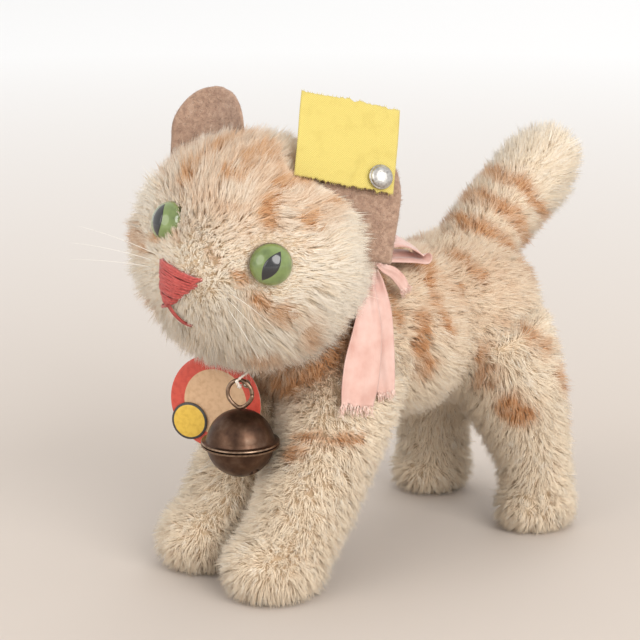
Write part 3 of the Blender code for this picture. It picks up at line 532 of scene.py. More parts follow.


# The pile: tapered hairs that lean with the cloth, gathered into small tufts

# From the foot of a hair to its tip, darker to paler: painted shade deep in the pile and painted light on the
# tips. A hair's lower part takes a row picked partly at random, and its tip the next row.
CREAM_SHADE_TO_LIGHT = np.array(((0.85, 0.67, 0.48), (0.90, 0.73, 0.54), (0.93, 0.78, 0.59), (0.94, 0.84, 0.70)))
ORANGE_SHADE_TO_LIGHT = np.array(((0.44, 0.18, 0.065), (0.52, 0.23, 0.09), (0.60, 0.29, 0.125), (0.69, 0.40, 0.21)))
STRIPE_LEVELS, SHADES = 5, 4
NOSE = np.array((-1.4, 19.8, -5.5))  # in the head's own left, front and up, as the head's strokes are
HEAD_HAIRS, BODY_HAIRS, TAIL_HAIRS = 96000, 150000, 22000
HAIRS_PER_PIECE = 22000  # nine triangles a hair
TUFT = 9  # hairs to a tuft
TUFT_TILT, HAIR_TILT = 0.17, 0.13
FOOT_DEPTH, THINNEST, THICKEST = 0.3, 0.055, 0.095
BARE_NECK_R = 12.5  # no hair grows on the flat under the head and just round it

# Airbrushed strokes: points along each, its half width and its strength. Each has a twin on the other side.
# The broad haze on the chest also paints the head's shade there.
HEAD_STROKES = [
    ([(0.6, 2.0, 19.4), (1.3, 5.1, 18.7), (1.0, 12.0, 15.2)], 1.9, 0.85),
    ([(6.6, 0.0, 18.6), (7.3, 3.3, 17.8), (8.1, 11.1, 13.9), (9.6, 13.0, 11.1)], 2.1, 1.0),
    ([(13.2, -1.1, 14.6), (14.0, 7.2, 12.1)], 1.9, 0.85),
    ([(5.4, 0.6, 18.7), (7.7, -0.8, 17.9)], 2.2, 0.9),
    ([(12.8, 14.8, -3.3), (17.4, 9.3, -3.7)], 1.8, 0.75),
    ([(18.9, 4.4, -5.9), (17.6, 0.2, -9.0)], 1.9, 0.75),
    ([(11.4, 6.0, -14.6), (14.4, 1.0, -14.0)], 2.0, 0.7),
    ([(15.9, 8.2, 8.7)], 1.6, 0.35),
    ([(10.7, 16.8, -0.2), (9.0, 17.7, 1.1)], 1.0, 1.0),
    ([(5.5, 19.0, 2.5), (3.9, 19.3, 3.1)], 1.1, 0.6),
    ([(0.0, 6.0, 18.0), (7.0, 7.0, 16.0)], 8.0, 0.5),
    ([(2.0, 15.5, 11.5), (9.0, 13.0, 11.5)], 6.0, 0.36),
    ([(6.0, -8.0, 17.0), (8.0, -12.5, 13.0)], 2.2, 0.9),
    ([(0.8, -7.0, 18.4), (1.2, -14.0, 14.0)], 2.0, 0.8),
    ([(5.5, -17.5, 7.5), (9.5, -16.8, 4.0)], 2.1, 0.75),
    ([(13.5, -11.5, 8.6), (16.5, -9.0, 4.5)], 1.9, 0.7),
    ([(17.5, -6.5, -6.0), (15.0, -10.5, -8.5)], 1.9, 0.65),
]
BODY_STROKES = [
    ([(3.8, -5.0, 60.6), (5.8, -3.4, 57.5), (11.7, -3.5, 50.6)], 2.1, 0.95),
    ([(4.0, 6.0, 60.6), (7.3, 9.4, 57.9)], 2.4, 1.0),
    ([(9.4, 8.1, 56.9), (12.1, 6.7, 53.4), (14.1, 9.5, 47.0)], 1.7, 0.8),
    ([(13.4, 2.3, 49.8), (13.9, 1.7, 44.1), (13.5, 3.4, 40.2)], 2.0, 1.0),
    ([(15.3, 18.9, 41.4), (15.2, 20.4, 34.6)], 2.0, 0.7),
    ([(5.6, 19.5, 58.9), (11.6, 21.3, 54.8)], 1.8, 0.75),
    ([(10.4, 10.8, 55.1), (10.8, 15.6, 53.2)], 1.5, 0.7),
    ([(18.5, 23.7, 30.0), (19.5, 25.7, 27.0)], 2.2, 1.0),
    ([(19.0, 27.7, 43.8), (19.6, 31.1, 40.1)], 2.0, 0.7),
    ([(19.3, 35.0, 34.3), (18.8, 36.9, 29.5)], 1.8, 0.8),
    ([(15.3, 21.7, 47.1), (16.7, 26.7, 45.0)], 1.5, 0.4),
    ([(12.2, -18.6, 47.0), (8.7, -22.3, 42.2), (3.0, -24.0, 37.0)], 2.4, 0.95),
    ([(11.1, -27.2, 30.2), (15.7, -24.4, 30.0), (18.1, -18.2, 30.0)], 1.1, 0.8),
    ([(11.1, -28.5, 27.4), (12.5, -27.8, 27.3)], 1.4, 0.8),
    ([(6.5, 34.0, 57.0), (10.5, 37.0, 51.5)], 1.9, 0.8),
    ([(11.5, 36.5, 43.0), (15.5, 36.0, 38.5)], 1.9, 0.7),
    ([(14.5, 40.0, 25.0), (18.0, 38.5, 22.5)], 1.6, 0.6),
    ([(1.0, 14.0, 61.0), (4.5, 15.5, 60.0)], 1.7, 0.8),
    ([(8.0, -8.0, 54.0), (10.0, 26.0, 54.0)], 10.0, 0.3),
    # A broad haze under the chin: orange stripes, and painted shade where the head shadows the chest
    ([(12.0, -18.0, 47.0), (4.0, -23.5, 40.0)], 6.0, 0.75),
]
# How far along the tail, half width and strength
TAIL_BANDS = [(7.5, 2.4, 1.0), (13.5, 2.0, 0.95), (19.8, 2.2, 0.85), (26.5, 2.0, 0.8)]
TAIL_START = np.array((0.0, 22.0, 51.0))


def near_stroke(points, line, half_width):
    """How strongly a stroke along line colours each point, from 0 to 1."""
    line = np.asarray(line, float)
    away = np.linalg.norm(points - line[0], axis=1)
    for a, b in zip(line, line[1:]):
        along = np.clip(((points - a) @ (b - a)) / ((b - a) @ (b - a)), 0, 1)
        away = np.minimum(away, np.linalg.norm(points - (a + along[:, None] * (b - a)), axis=1))
    return np.exp(-((away / half_width) ** 2))


def rough_edges(points, size, seed):
    """Low noise over points, about -1 to 1."""
    shift = Vector((seed * 7.3, seed * 3.1, seed * 5.7))
    return np.array([noise.noise(Vector(p) / size + shift) for p in points.tolist()])


def stroked(points, strokes):
    """The colour strength of strokes and their mirror twins, broken up by noise."""
    worn = 1.15 + 0.75 * rough_edges(points, 2.2, 1)
    moved = points + 1.1 * rough_edges(points, 3.0, 2)[:, None]
    total = np.zeros(len(points))
    for line, half_width, strength in strokes:
        for side in (1, -1):
            twin = np.asarray(line, float) * (side, 1, 1)
            total = np.maximum(total, strength * near_stroke(moved, twin, 1.15 * half_width))
    return np.clip(total * worn, 0, 1)


def tail_stripes(points):
    way = unit(np.array(TAIL[-1][:3]) - TAIL_START)
    along = (points - TAIL_START) @ way + 1.6 * rough_edges(points, 4.0, 3)
    total = np.zeros(len(points))
    for at, half_width, strength in TAIL_BANDS:
        total = np.maximum(total, strength * np.exp(-(((along - at) / half_width) ** 2)))
    return np.clip(total * (1.1 + 0.6 * rough_edges(points, 2.0, 4)), 0, 1)


def pile_looks():
    """The pile's tones: from cream to orange, each in a few shades from the foot of the hair to its tip,
    darker at the foot as painted shade and paler at the tip as painted light.
    """
    looks = []
    for i in range(STRIPE_LEVELS):
        share = i / (STRIPE_LEVELS - 1)
        for j in range(SHADES):
            colour = CREAM_SHADE_TO_LIGHT[j] * (1 - share) + ORANGE_SHADE_TO_LIGHT[j] * share
            looks.append(finish(f"pile_{i}_{j}", colour, 0.78, Sheen_Weight=0.2, Sheen_Roughness=0.4))
    return looks


def scatter(skin, count, rng):
    """Random points over a skin, even by area, with the smooth normals there."""
    places, normals = working_points(skin)
    skin.data.calc_loop_triangles()
    corners = np.empty(len(skin.data.loop_triangles) * 3, np.int32)
    skin.data.loop_triangles.foreach_get("vertices", corners)
    corners = corners.reshape(-1, 3)
    area = np.linalg.norm(np.cross(places[corners[:, 1]] - places[corners[:, 0]],
                                   places[corners[:, 2]] - places[corners[:, 0]]), axis=1)
    picked = corners[rng.choice(len(corners), count, p=area / area.sum())]
    a, b = rng.random((2, count, 1))
    a, b = np.where(a + b > 1, 1 - a, a), np.where(a + b > 1, 1 - b, b)
    weights = (1 - a - b, a, b)
    roots = sum(w * places[picked[:, k]] for k, w in enumerate(weights))
    return roots, unit(sum(w * normals[picked[:, k]] for k, w in enumerate(weights)))


def nearest(points, among):
    """The index of, and the distance to, the nearest of some other points for each point."""
    tree = kdtree.KDTree(len(among))
    for i, point in enumerate(among.tolist()):
        tree.insert(point, i)
    tree.balance()
    found = [tree.find(point) for point in points.tolist()]
    return [index for _, index, _ in found], np.array([away for _, _, away in found])


def under_covers(lengths, roots, covers):
    """Hair lengths cut down to what fits under the things that lie on the pile."""
    return np.minimum(lengths, 0.35 + 0.85 * nearest(roots, covers)[1])


def tufts_of(roots, rng):
    """For each hair, the index of the hair at the middle of its tuft."""
    middles = rng.choice(len(roots), max(len(roots) // TUFT, 1), replace=False)
    return middles[nearest(roots, roots[middles])[0]]


def grow_pile(name, body, roots, normals, comb, lengths, leans, stripes_at, paleness, gather, rng):
    """Mesh hairs from roots: three-sided, bent once and ending in a point.

    leans are slopes away from upright, and gather is how far a tuft's tips draw together. stripes_at
    gives the stripes' strength at points of the skin. It is read under each hair's bend and tip, because
    the stripes were sprayed on the pile's surface.
    """
    count = len(roots)
    middle = tufts_of(roots, rng)
    tilt = rng.normal(0, TUFT_TILT, (count, 3))[middle] + rng.normal(0, HAIR_TILT, (count, 3))
    lengths = lengths * (0.88 + 0.24 * rng.random(count))[middle] * (0.85 + 0.3 * rng.random(count))
    lengths = np.where(rng.random(count) < 0.03, lengths * 1.25, lengths)[:, None]
    low = unit(normals + comb * (0.6 * leans)[:, None] + tilt)
    high = unit(normals + comb * (1.5 * leans)[:, None] + 1.6 * tilt)
    foot = roots - FOOT_DEPTH * normals
    bend = foot + low * lengths * 0.5
    tip = bend + high * lengths * 0.5
    pull = gather * (0.6 + 0.8 * rng.random(count))[:, None]
    tip = tip + pull * (tip[middle] - tip)
    bend = bend + 0.4 * pull * (bend[middle] - bend)
    for point in (foot, bend, tip):
        point[:, 2] = np.maximum(point[:, 2], 0.15 + 0.1 * rng.random(count))
    first = across_to(rng.normal(0, 1, (count, 3)), low)
    second = np.cross(low, first)
    thick = (THINNEST + (THICKEST - THINNEST) * rng.random(count)[:, None]) * 1.0
    ring = [math.cos(a) * first + math.sin(a) * second for a in (0, 2 * math.pi / 3, 4 * math.pi / 3)]
    rings = [foot + thick * r for r in ring] + [bend + 0.8 * thick * r for r in ring]
    points = np.stack([*rings, tip], axis=1)
    soft = np.stack([unit(normals + 0.3 * r) for r in ring] * 2 + [unit(normals + 0.4 * high)], axis=1)

    shade = paleness + rng.normal(0, 0.25, count)[middle] + rng.normal(0, 0.3, count)
    shade = np.clip(np.round(shade), 0, SHADES - 2)
    grain = rng.normal(0, 0.3, count)
    tones = []
    # The tip takes the next, paler row: painted light on the tips over painted shade lower down
    for lift, part in ((0, bend), (1, tip)):
        under = part - ((part - roots) * normals).sum(1, keepdims=True) * normals
        level = np.round(stripes_at(under) * (STRIPE_LEVELS - 1) + grain)
        tones.append((np.clip(level, 0, STRIPE_LEVELS - 1) * SHADES + shade + lift).astype(np.int32))
    for k, start in enumerate(range(0, count, HAIRS_PER_PIECE)):
        some = slice(start, start + HAIRS_PER_PIECE)
        hair_piece(f"{name}_{k + 1}", body, points[some], soft[some], tones[0][some], tones[1][some])


def hair_piece(name, body, points, soft, low_tones, tip_tones):
    """One mesh of hairs. Each has seven points: three at the foot, three at the bend and the tip."""
    count = len(points)
    start = 7 * np.arange(count)[:, None]
    sides = [start + np.array(((k, (k + 1) % 3, 3 + (k + 1) % 3, 3 + k))) for k in range(3)]
    tops = [start + np.array((3 + k, 3 + (k + 1) % 3, 6)) for k in range(3)]
    quads, triangles = np.stack(sides, 1).reshape(-1, 4), np.stack(tops, 1).reshape(-1, 3)
    mesh = bpy.data.meshes.new(name)
    mesh.vertices.add(7 * count)
    mesh.vertices.foreach_set("co", ((points.reshape(-1, 3) + ORIGIN) * MM).ravel())
    mesh.loops.add(quads.size + triangles.size)
    mesh.loops.foreach_set("vertex_index", np.concatenate((quads.ravel(), triangles.ravel())))
    mesh.polygons.add(len(quads) + len(triangles))
    starts = np.concatenate((4 * np.arange(len(quads)), quads.size + 3 * np.arange(len(triangles))))
    mesh.polygons.foreach_set("loop_start", starts)
    mesh.update(calc_edges=True)
    for look in PILE:
        mesh.materials.append(look)
    tones = np.concatenate((np.repeat(low_tones, 3), np.repeat(tip_tones, 3)))
    mesh.polygons.foreach_set("material_index", tones)
    mesh.shade_smooth()
    mesh.normals_split_custom_set_from_vertices(soft.reshape(-1, 3))
    made = bpy.data.objects.new(name, mesh)
    bpy.context.scene.collection.objects.link(made)
    place(made, body)
    return made


def swirls(points, size, seed):
    """Low noise that turns the comb's direction from place to place."""
    return np.stack([rough_edges(points, size, seed + k) for k in range(3)], axis=1)


def head_pile(skin, covers):
    """Pile combed away from the nose, short round it and shorter again on its bridge."""
    rng = np.random.default_rng(11)
    roots, normals = scatter(skin, fewer(HEAD_HAIRS), rng)
    keep = from_neck(roots)[0] < NECK_FACE - 0.8
    roots, normals = roots[keep], normals[keep]
    own = (roots - HEAD_CENTRE) @ HEAD
    off = np.linalg.norm(own - NOSE, axis=1)
    comb = across_to(own - NOSE, unit(own)) @ HEAD.T + 0.25 * np.array((0, 0, -1))
    comb = across_to(comb + 1.1 * swirls(roots, 6.5, 8), normals)
    lengths = 2.3 + 3.2 * np.clip((off - 6.0) / 11.0, 0, 1)
    bridge = np.exp(-((own[:, 0] / 6.0) ** 2) - (((own[:, 2] - 1.0) / 5.5) ** 2)) * (own[:, 1] > 0)
    lengths = lengths * (1 - 0.35 * bridge)
    lengths = under_covers(lengths, roots, covers)
    leans = 0.50 + 0.35 * np.clip(off / 20.0, 0, 1)
    grow_pile("head_pile", "head", roots, normals, comb, lengths, leans,
              lambda points: stroked((points - HEAD_CENTRE) @ HEAD, HEAD_STROKES), 1.8, 0.34, rng)


def body_pile(skin, covers):
    """Pile combed back and down over the body and down the legs."""
    rng = np.random.default_rng(12)
    roots, normals = scatter(skin, fewer(BODY_HAIRS), rng)
    below, out = from_neck(roots)
    keep = ~((below < SHOULDER + 0.3) & (out < BARE_NECK_R)) & (roots[:, 2] > 0.5)
    roots, normals = roots[keep], normals[keep]
    leg = np.clip((34 - roots[:, 2]) / 10, 0, 1)[:, None]
    comb = (1 - leg) * np.array((0, 0.75, -0.65)) + leg * np.array((0, -0.15, -1.0))
    swirl = swirls(roots, 9.0, 5)
    comb = across_to(comb + 0.9 * swirl, normals)
    lengths = 3.8 + 0.5 * swirl[:, 0] - 0.5 * leg[:, 0]
    lengths = under_covers(lengths, roots, covers)
    leans = np.full(len(roots), 0.45)
    grow_pile("body_pile", "trunk", roots, normals, comb, lengths, leans,
              lambda points: stroked(points, BODY_STROKES), 1.1, 0.26, rng)


def tail_pile(skin):
    """Pile combed towards the tail's tip, where it is longest."""
    rng = np.random.default_rng(13)
    roots, normals = scatter(skin, fewer(TAIL_HAIRS), rng)
    keep = (roots - TAIL_START) @ unit((0, 1, 0.85)) > 3.0
    roots, normals = roots[keep], normals[keep]
    way = unit(np.array(TAIL[-1][:3]) - TAIL_START)
    comb = across_to(way + 0.4 * rng.normal(0, 1, (len(roots), 3)), normals)
    lengths = 4.0 + 0.9 * np.clip(((roots - TAIL_START) @ way - 26) / 8, 0, 1)
    leans = np.full(len(roots), 0.45)
    grow_pile("tail_pile", "trunk", roots, normals, comb, lengths, leans, tail_stripes, 1.4, 0.30, rng)


def fewer(count):
    return count


# Face


def eye_facing(name):
    """The middle of the bead's back and the way it looks. The right one is sewn in deeper."""
    way = unit(EYE_WAYS[name])
    near = name == "left"
    out = unit(HEAD @ (way + np.array((0, 0.25 if near else 0.4, 0))))
    return head_surface(way, 0.9 if near else -0.6), out


def build_eye(name):
    """A glass bead with a slit pupil painted on it, leaning outwards at the top."""
    centre, out = eye_facing(name)
    side = 1 if name == "left" else -1
    slit = across_to(HEAD @ np.array((0.31 * side, 0, 0.95)), out)
    wide = np.cross(slit, out)
    rings = [(EYE_R * math.cos(a), EYE_DEPTH * math.sin(a) if a > 0 else 1.2 * math.sin(a))
             for a in np.radians(np.arange(-90, 91, 7.5))]
    profile = [(max(r, 0.0), h) for r, h in rings]
    bead = welded(mesh_piece("eye_bead_" + name, *turned(profile, centre, out, 64), [EYE_GREEN, EYE_RIM]))
    give_looks(bead, centre, out, lambda high, off: int(off > 0.955 * EYE_R or high < 0))
    place(bead, "head", ["eye_glass_" + name])
    rows, columns = 25, 9
    along = np.linspace(-1, 1, rows)[:, None]
    over = np.linspace(-1, 1, columns)[None, :]
    tall, broad = 3.2 * along + 0 * over, 1.4 * (1 - np.abs(along) ** 1.9) * over
    high = EYE_DEPTH * np.sqrt(1 - (tall**2 + broad**2) / EYE_R**2)
    grids = [centre + tall[..., None] * slit + broad[..., None] * wide + (high + lift)[..., None] * out
             for lift in (0.05, -0.1)]
    pupil = mesh_piece("eye_pupil_" + name, *slab(*grids), PUPIL)
    place(welded(pupil), "head")


NOSE_TOP, NOSE_LOW, NOSE_MIDDLE, NOSE_LEAN, NOSE_HALF = -2.4, -9.0, -1.2, -0.9, 4.5
NOSE_RISE = 1.5


def build_nose():
    """Satin stitches from side to side, two layers deep, and a mouth of two long stitches."""
    rng = np.random.default_rng(5)
    rows, shapes = 13, []
    for i in range(rows):
        down = i / (rows - 1)
        up = NOSE_TOP + (NOSE_LOW - NOSE_TOP) * down
        middle = NOSE_MIDDLE + NOSE_LEAN * down
        half = NOSE_HALF * (1 - down) ** 0.75 + 0.35
        across = np.linspace(-1, 1, 11)
        ends = rng.normal(0, 0.22, 2)
        left = middle + half * across + np.where(across > 0, ends[0], ends[1]) * across
        wander = up + 0.12 * rng.normal() + 0.25 * across * rng.normal(0, 0.5)
        rise = NOSE_RISE + 0.35 * (1 - across**2) + 0.12 * rng.random() - 1.3 * np.abs(across) ** 8
        for strand in (-0.16, 0.16):
            path = on_face(left, wander + strand + 0.05 * np.sin(across * 9 + strand * 12), rise)
            shapes.append(tube(path, 0.20 + 0.03 * rng.random(), 8))
    down, across = np.meshgrid(np.linspace(0, 0.97, 11), np.linspace(-1, 1, 11), indexing="ij")
    left = NOSE_MIDDLE + NOSE_LEAN * down + NOSE_HALF * (1 - down) ** 0.75 * across
    pad = on_face(left, NOSE_TOP + (NOSE_LOW - NOSE_TOP) * down, NOSE_RISE - 0.15)
    foot = HEAD_CENTRE + (pad - HEAD_CENTRE) * 0.94
    shapes.append(slab(pad, foot))
    mesh_piece("nose_stitches", *joined(shapes), COTTON, "head", ["nose_stitching"], "coral_cotton")
    tip = NOSE_MIDDLE + NOSE_LEAN
    lines = [[(tip, -8.8), (tip + 0.9, -10.2), (tip + 2.2, -11.6), (tip + 3.6, -12.8)],
             [(tip + 0.3, -8.8), (tip - 0.9, -10.0), (tip - 2.4, -11.2), (tip - 4.0, -12.2)]]
    shapes = []
    for line in lines:
        line = smooth_path(line, 5)
        for strand in (-0.17, 0.17):
            rise = NOSE_RISE - 0.1 - 0.9 * np.linspace(0, 1, len(line)) ** 4
            shapes.append(tube(on_face(line[:, 0] + strand, line[:, 1] + strand, rise), 0.25, 8))
    mesh_piece("mouth_stitches", *joined(shapes), COTTON, "head", ["mouth_stitching"], "coral_cotton")
    return np.concatenate((pad.reshape(-1, 3), np.concatenate([s[0] for s in shapes])))


def build_whiskers():
    for side, name in ((1, "left"), (-1, "right")):
        for k in range(3):
            root = on_face(side * 8.0, -5.4 + 1.3 * k, 0.4)
            way = unit(HEAD @ np.array((side * 0.86, 0.46 - 0.05 * k, -0.12 + 0.11 * k)))
            t = np.linspace(0, 1, 14)[:, None]
            path = root + way * WHISKER_LENGTH * t + np.array((0, 0, -WHISKER_SAG)) * t**2
            node = f"whisker_{name}_{k + 1}"
            shape = tube(path, np.linspace(0.055, 0.02, 14), 6)
            mesh_piece("fine_" + node, *shape, WHISKER, "head", [node], "clear_thread")


# Ears, button and flag

BUTTON_AT = JOINT_AT["flag_turn"] - ORIGIN
FLAG_NORMAL = unit(JOINT_AXIS["flag_turn"])
FLAG_ACROSS = across_to((0.396, 0.891, -0.22), FLAG_NORMAL)
FLAG_UP = np.cross(FLAG_NORMAL, FLAG_ACROSS)
BUTTON_IN_FLAG = (17.3, 2.6)  # across and up from the flag's lower corner
WEAVE = 0.42


def build_ear(name, base, across, up, front, cup, curl):
    """A cupped felt ear with a soft, uneven rim."""
    rows, columns = 34, 30
    climb, over = np.meshgrid(np.linspace(0, 1, rows), np.linspace(-1, 1, columns), indexing="ij")
    past = np.maximum(climb - EAR_STRAIGHT, 0)
    half = EAR_WIDTH / 2 * np.sqrt(np.clip(1 - past**2 / EAR_ROUNDED**2, 0.006, 1))
    half = half * (0.92 + 0.08 * np.minimum(climb / EAR_STRAIGHT, 1))
    side = half * over
    bow = cup * (side / (EAR_WIDTH / 2)) ** 2 + curl * np.maximum(climb - 0.55, 0) ** 2
    middle = base + side[..., None] * across + (EAR_HEIGHT * climb - EAR_ROOT)[..., None] * up
    puff = 0.55 * (1 - np.maximum(np.abs(over), np.abs(2 * climb - 1) ** 3) ** 6) + 0.18
    wave = rough_edges(middle.reshape(-1, 3), 5.0, 0).reshape(rows, columns)
    lift = bow + 0.55 + 0.45 * wave
    faces = [middle + (lift + s * puff)[..., None] * front for s in (1, -1)]
    return mesh_piece("felt_ear_" + name, *slab(*faces), FELT, "head", ["ear_" + name], "felt")


def felt_fuzz(ear, name, rng):
    """Short fibres that stand off the felt."""
    roots, normals = scatter(ear, fewer(9000), rng)
    count = len(roots)
    way = unit(normals + rng.normal(0, 0.7, (count, 3)))
    tip = roots + way * (0.35 + 0.45 * rng.random(count))[:, None]
    first = across_to(rng.normal(0, 1, (count, 3)), way)
    second = np.cross(way, first)
    foot = roots - 0.05 * normals
    ring = [foot + 0.045 * (math.cos(a) * first + math.sin(a) * second) for a in (0, 2.09, 4.19)]
    points = np.stack([*ring, tip], axis=1).reshape(-1, 3)
    start = 4 * np.arange(count)[:, None]
    faces = np.stack([start + np.array((k, (k + 1) % 3, 3)) for k in range(3)], 1).reshape(-1, 3)
    mesh_piece("felt_fuzz_" + name, points, faces, FIBRE, "head", slot="felt")


def build_ears():
    up = unit(HEAD @ np.array((-0.22, 0.02, 0.97)))
    across = across_to(HEAD @ np.array((-0.92, 0.1, -0.36)), up)
    base = HEAD_CENTRE + HEAD @ np.array((-15.2, -3.0, 9.0))
    right = build_ear("right", base, across, up, np.cross(up, across), 3.2, 0.0)
    base = BUTTON_AT - 2.8 * FLAG_ACROSS - 11.0 * FLAG_UP - 4.0 * FLAG_NORMAL
    left = build_ear("left", base, FLAG_ACROSS, FLAG_UP, FLAG_NORMAL, 1.4, -3.0)
    rng = np.random.default_rng(21)
    felt_fuzz(right, "right", rng)
    felt_fuzz(left, "left", rng)


def build_button():
    """A plain domed rivet head with a rolled rim."""
    steps = np.radians((0, 12, 26, 42, 58, 74, 90))
    rim = [(2.05, -0.42), (2.3, -0.34), (2.42, -0.12), (2.38, 0.08), (2.2, 0.16)]
    dome = [(2.15 * math.cos(a), 0.18 + 1.0 * math.sin(a)) for a in steps]
    profile = [(0, -4.9), (0.8, -4.9), (0.8, -0.42), *rim, *dome[:-1], (0, 1.18)]
    made = mesh_piece("button_dome", *turned(profile, BUTTON_AT, FLAG_NORMAL, 56), NICKEL)
    place(welded(made), "head", ["ear_button"])


def woven_yellow():
    """A plain weave: two sets of fine ridges across each other, along the flag's own directions."""
    made = finish("woven_yellow", (0.88, 0.69, 0.10), 0.75, Sheen_Weight=0.2, Sheen_Roughness=0.5)
    heights = []
    for way in (FLAG_ACROSS, FLAG_UP):
        links = {0: object_place(made), 1: tuple(way)}
        along = add_node(made, "ShaderNodeVectorMath", links, operation="DOT_PRODUCT").outputs["Value"]
        turns = sum_of(made, "MULTIPLY", along, 2 * math.pi / (WEAVE * MM))
        heights.append(sum_of(made, "SINE", turns))
    links = {"Value": sum_of(made, "MULTIPLY", *heights), "From Min": -1.0, "To Min": 0.0}
    height = add_node(made, "ShaderNodeMapRange", links).outputs["Result"]
    # The weave's colour follows its height: painted shade in the dips of the weave and painted light on its
    # crests
    weave = ramp(made, height, [(0.0, (0.58, 0.44, 0.075)), (1.0, (0.74, 0.62, 0.20))])
    soil = ramp(made, noise_of(made, 3.0, 4.0), [(0.25, (0.92, 0.90, 0.84)), (0.5, (1.0, 1.0, 1.0))])
    links = {"Factor": 1.0, 6: weave, 7: soil}
    mixed = add_node(made, "ShaderNodeMix", links, data_type="RGBA", blend_type="MULTIPLY")
    coloured(made, mixed.outputs[2])
    bumped(made, height, 0.09)
    return made


def build_flag():
    """A woven flag, limp at its free corners, dented by the button, with frayed cut ends."""
    rng = np.random.default_rng(31)
    rows, columns = 40, 48
    v, u = np.meshgrid(np.linspace(0, 1, rows), np.linspace(0, 1, columns), indexing="ij")
    in_flag, over_edge = BUTTON_IN_FLAG
    corner = BUTTON_AT - in_flag * FLAG_ACROSS - over_edge * FLAG_UP - 0.95 * FLAG_NORMAL
    x, y = u * FLAG_WIDTH, v * FLAG_LENGTH
    away = np.hypot(x - in_flag, y - over_edge)
    lift = 0.55 * np.sin(2.2 * u + 0.6) * v + 0.35 * np.sin(5.0 * v + 2.0 * u) * (1 - u)
    lift = lift * np.clip((away - 2.5) / 5, 0, 1) - 0.9 * v**3 * u**2 + 0.5 * (1 - v) ** 3 * (1 - u) ** 2
    crease = 0.35 * np.exp(-(((x - 11.6 - 0.35 * y) / 0.7) ** 2)) * np.exp(-((y / 5.5) ** 2))
    lift = lift - crease
    low_edge = 0.16 * rng.normal(0, 1, columns)
    high_edge = 0.16 * rng.normal(0, 1, columns)
    y = y + (1 - v) * low_edge * (v < 0.06) + v * high_edge * (v > 0.94)
    middle = corner + x[..., None] * FLAG_ACROSS + y[..., None] * FLAG_UP + lift[..., None] * FLAG_NORMAL
    grids = [middle + s * 0.14 * FLAG_NORMAL for s in (1, -1)]
    made = mesh_piece("woven_flag", *slab(*grids), YELLOW, "ear_flag", ["ear_flag"], "yellow_woven")
    shapes = []
    for edge, way in ((0, -1), (rows - 1, 1)):
        for start in middle[edge]:
            reach = way * FLAG_UP * (0.12 + 0.3 * rng.random()) + FLAG_ACROSS * rng.normal(0, 0.12)
            path = np.array([start, start + 0.6 * reach, start + reach + FLAG_NORMAL * rng.normal(0, 0.12)])
            shapes.append(tube(path, (0.06, 0.05, 0.03), 4))
    fray = mesh_piece("flag_fray", *joined(shapes), YELLOW, "ear_flag", slot="yellow_woven")
    return middle


# Ribbon


# The ribbon's ends and its loop, as (x, y, z, width) stations
TAIL_FRONT = [
    (12.6, -10.4, 62.6, 2.6), (14.8, -12.8, 60.4, 3.2), (17.0, -14.4, 57.0, 4.6), (18.4, -15.8, 52.0, 6.6),
    (19.0, -17.6, 46.0, 8.2), (19.4, -18.8, 41.0, 8.4), (19.6, -19.4, 37.8, 7.6),
]
TAIL_UNDER = [
    (12.4, -9.4, 62.0, 2.2), (15.0, -10.6, 59.6, 3.2), (17.0, -11.4, 54.6, 5.0), (18.0, -11.8, 48.6, 5.6),
    (18.4, -11.6, 43.0, 5.0), (18.7, -11.2, 38.8, 4.0),
]
LOOP_REAR = [
    (10.0, -6.0, 65.4, 3.2), (9.4, -2.8, 66.6, 5.4), (9.0, 0.2, 66.4, 6.4), (9.0, 3.2, 64.9, 6.4),
    (9.3, 5.6, 63.0, 6.0), (9.6, 5.4, 62.1, 6.0), (9.7, 2.4, 62.7, 5.8), (9.9, -1.4, 63.2, 4.8),
    (10.2, -4.8, 63.4, 3.0),
]
TAIL_REAR = [
    (12.0, -7.6, 63.0, 1.4), (13.0, -7.2, 62.4, 1.8), (13.8, -5.2, 61.2, 2.3), (14.4, -3.6, 59.4, 2.5),
    (14.6, -2.6, 57.6, 2.0),
]
RIBBON_THICK = 0.26
BAND_BELOW_HEAD, BAND_R, BAND_HOLE_R, BAND_SIDES = 18.0, 12.9, 11.6, 96
KNOT_AT, KNOT_RADII = np.array((9.6, -7.6, 64.2)), (2.5, 2.4, 2.2)


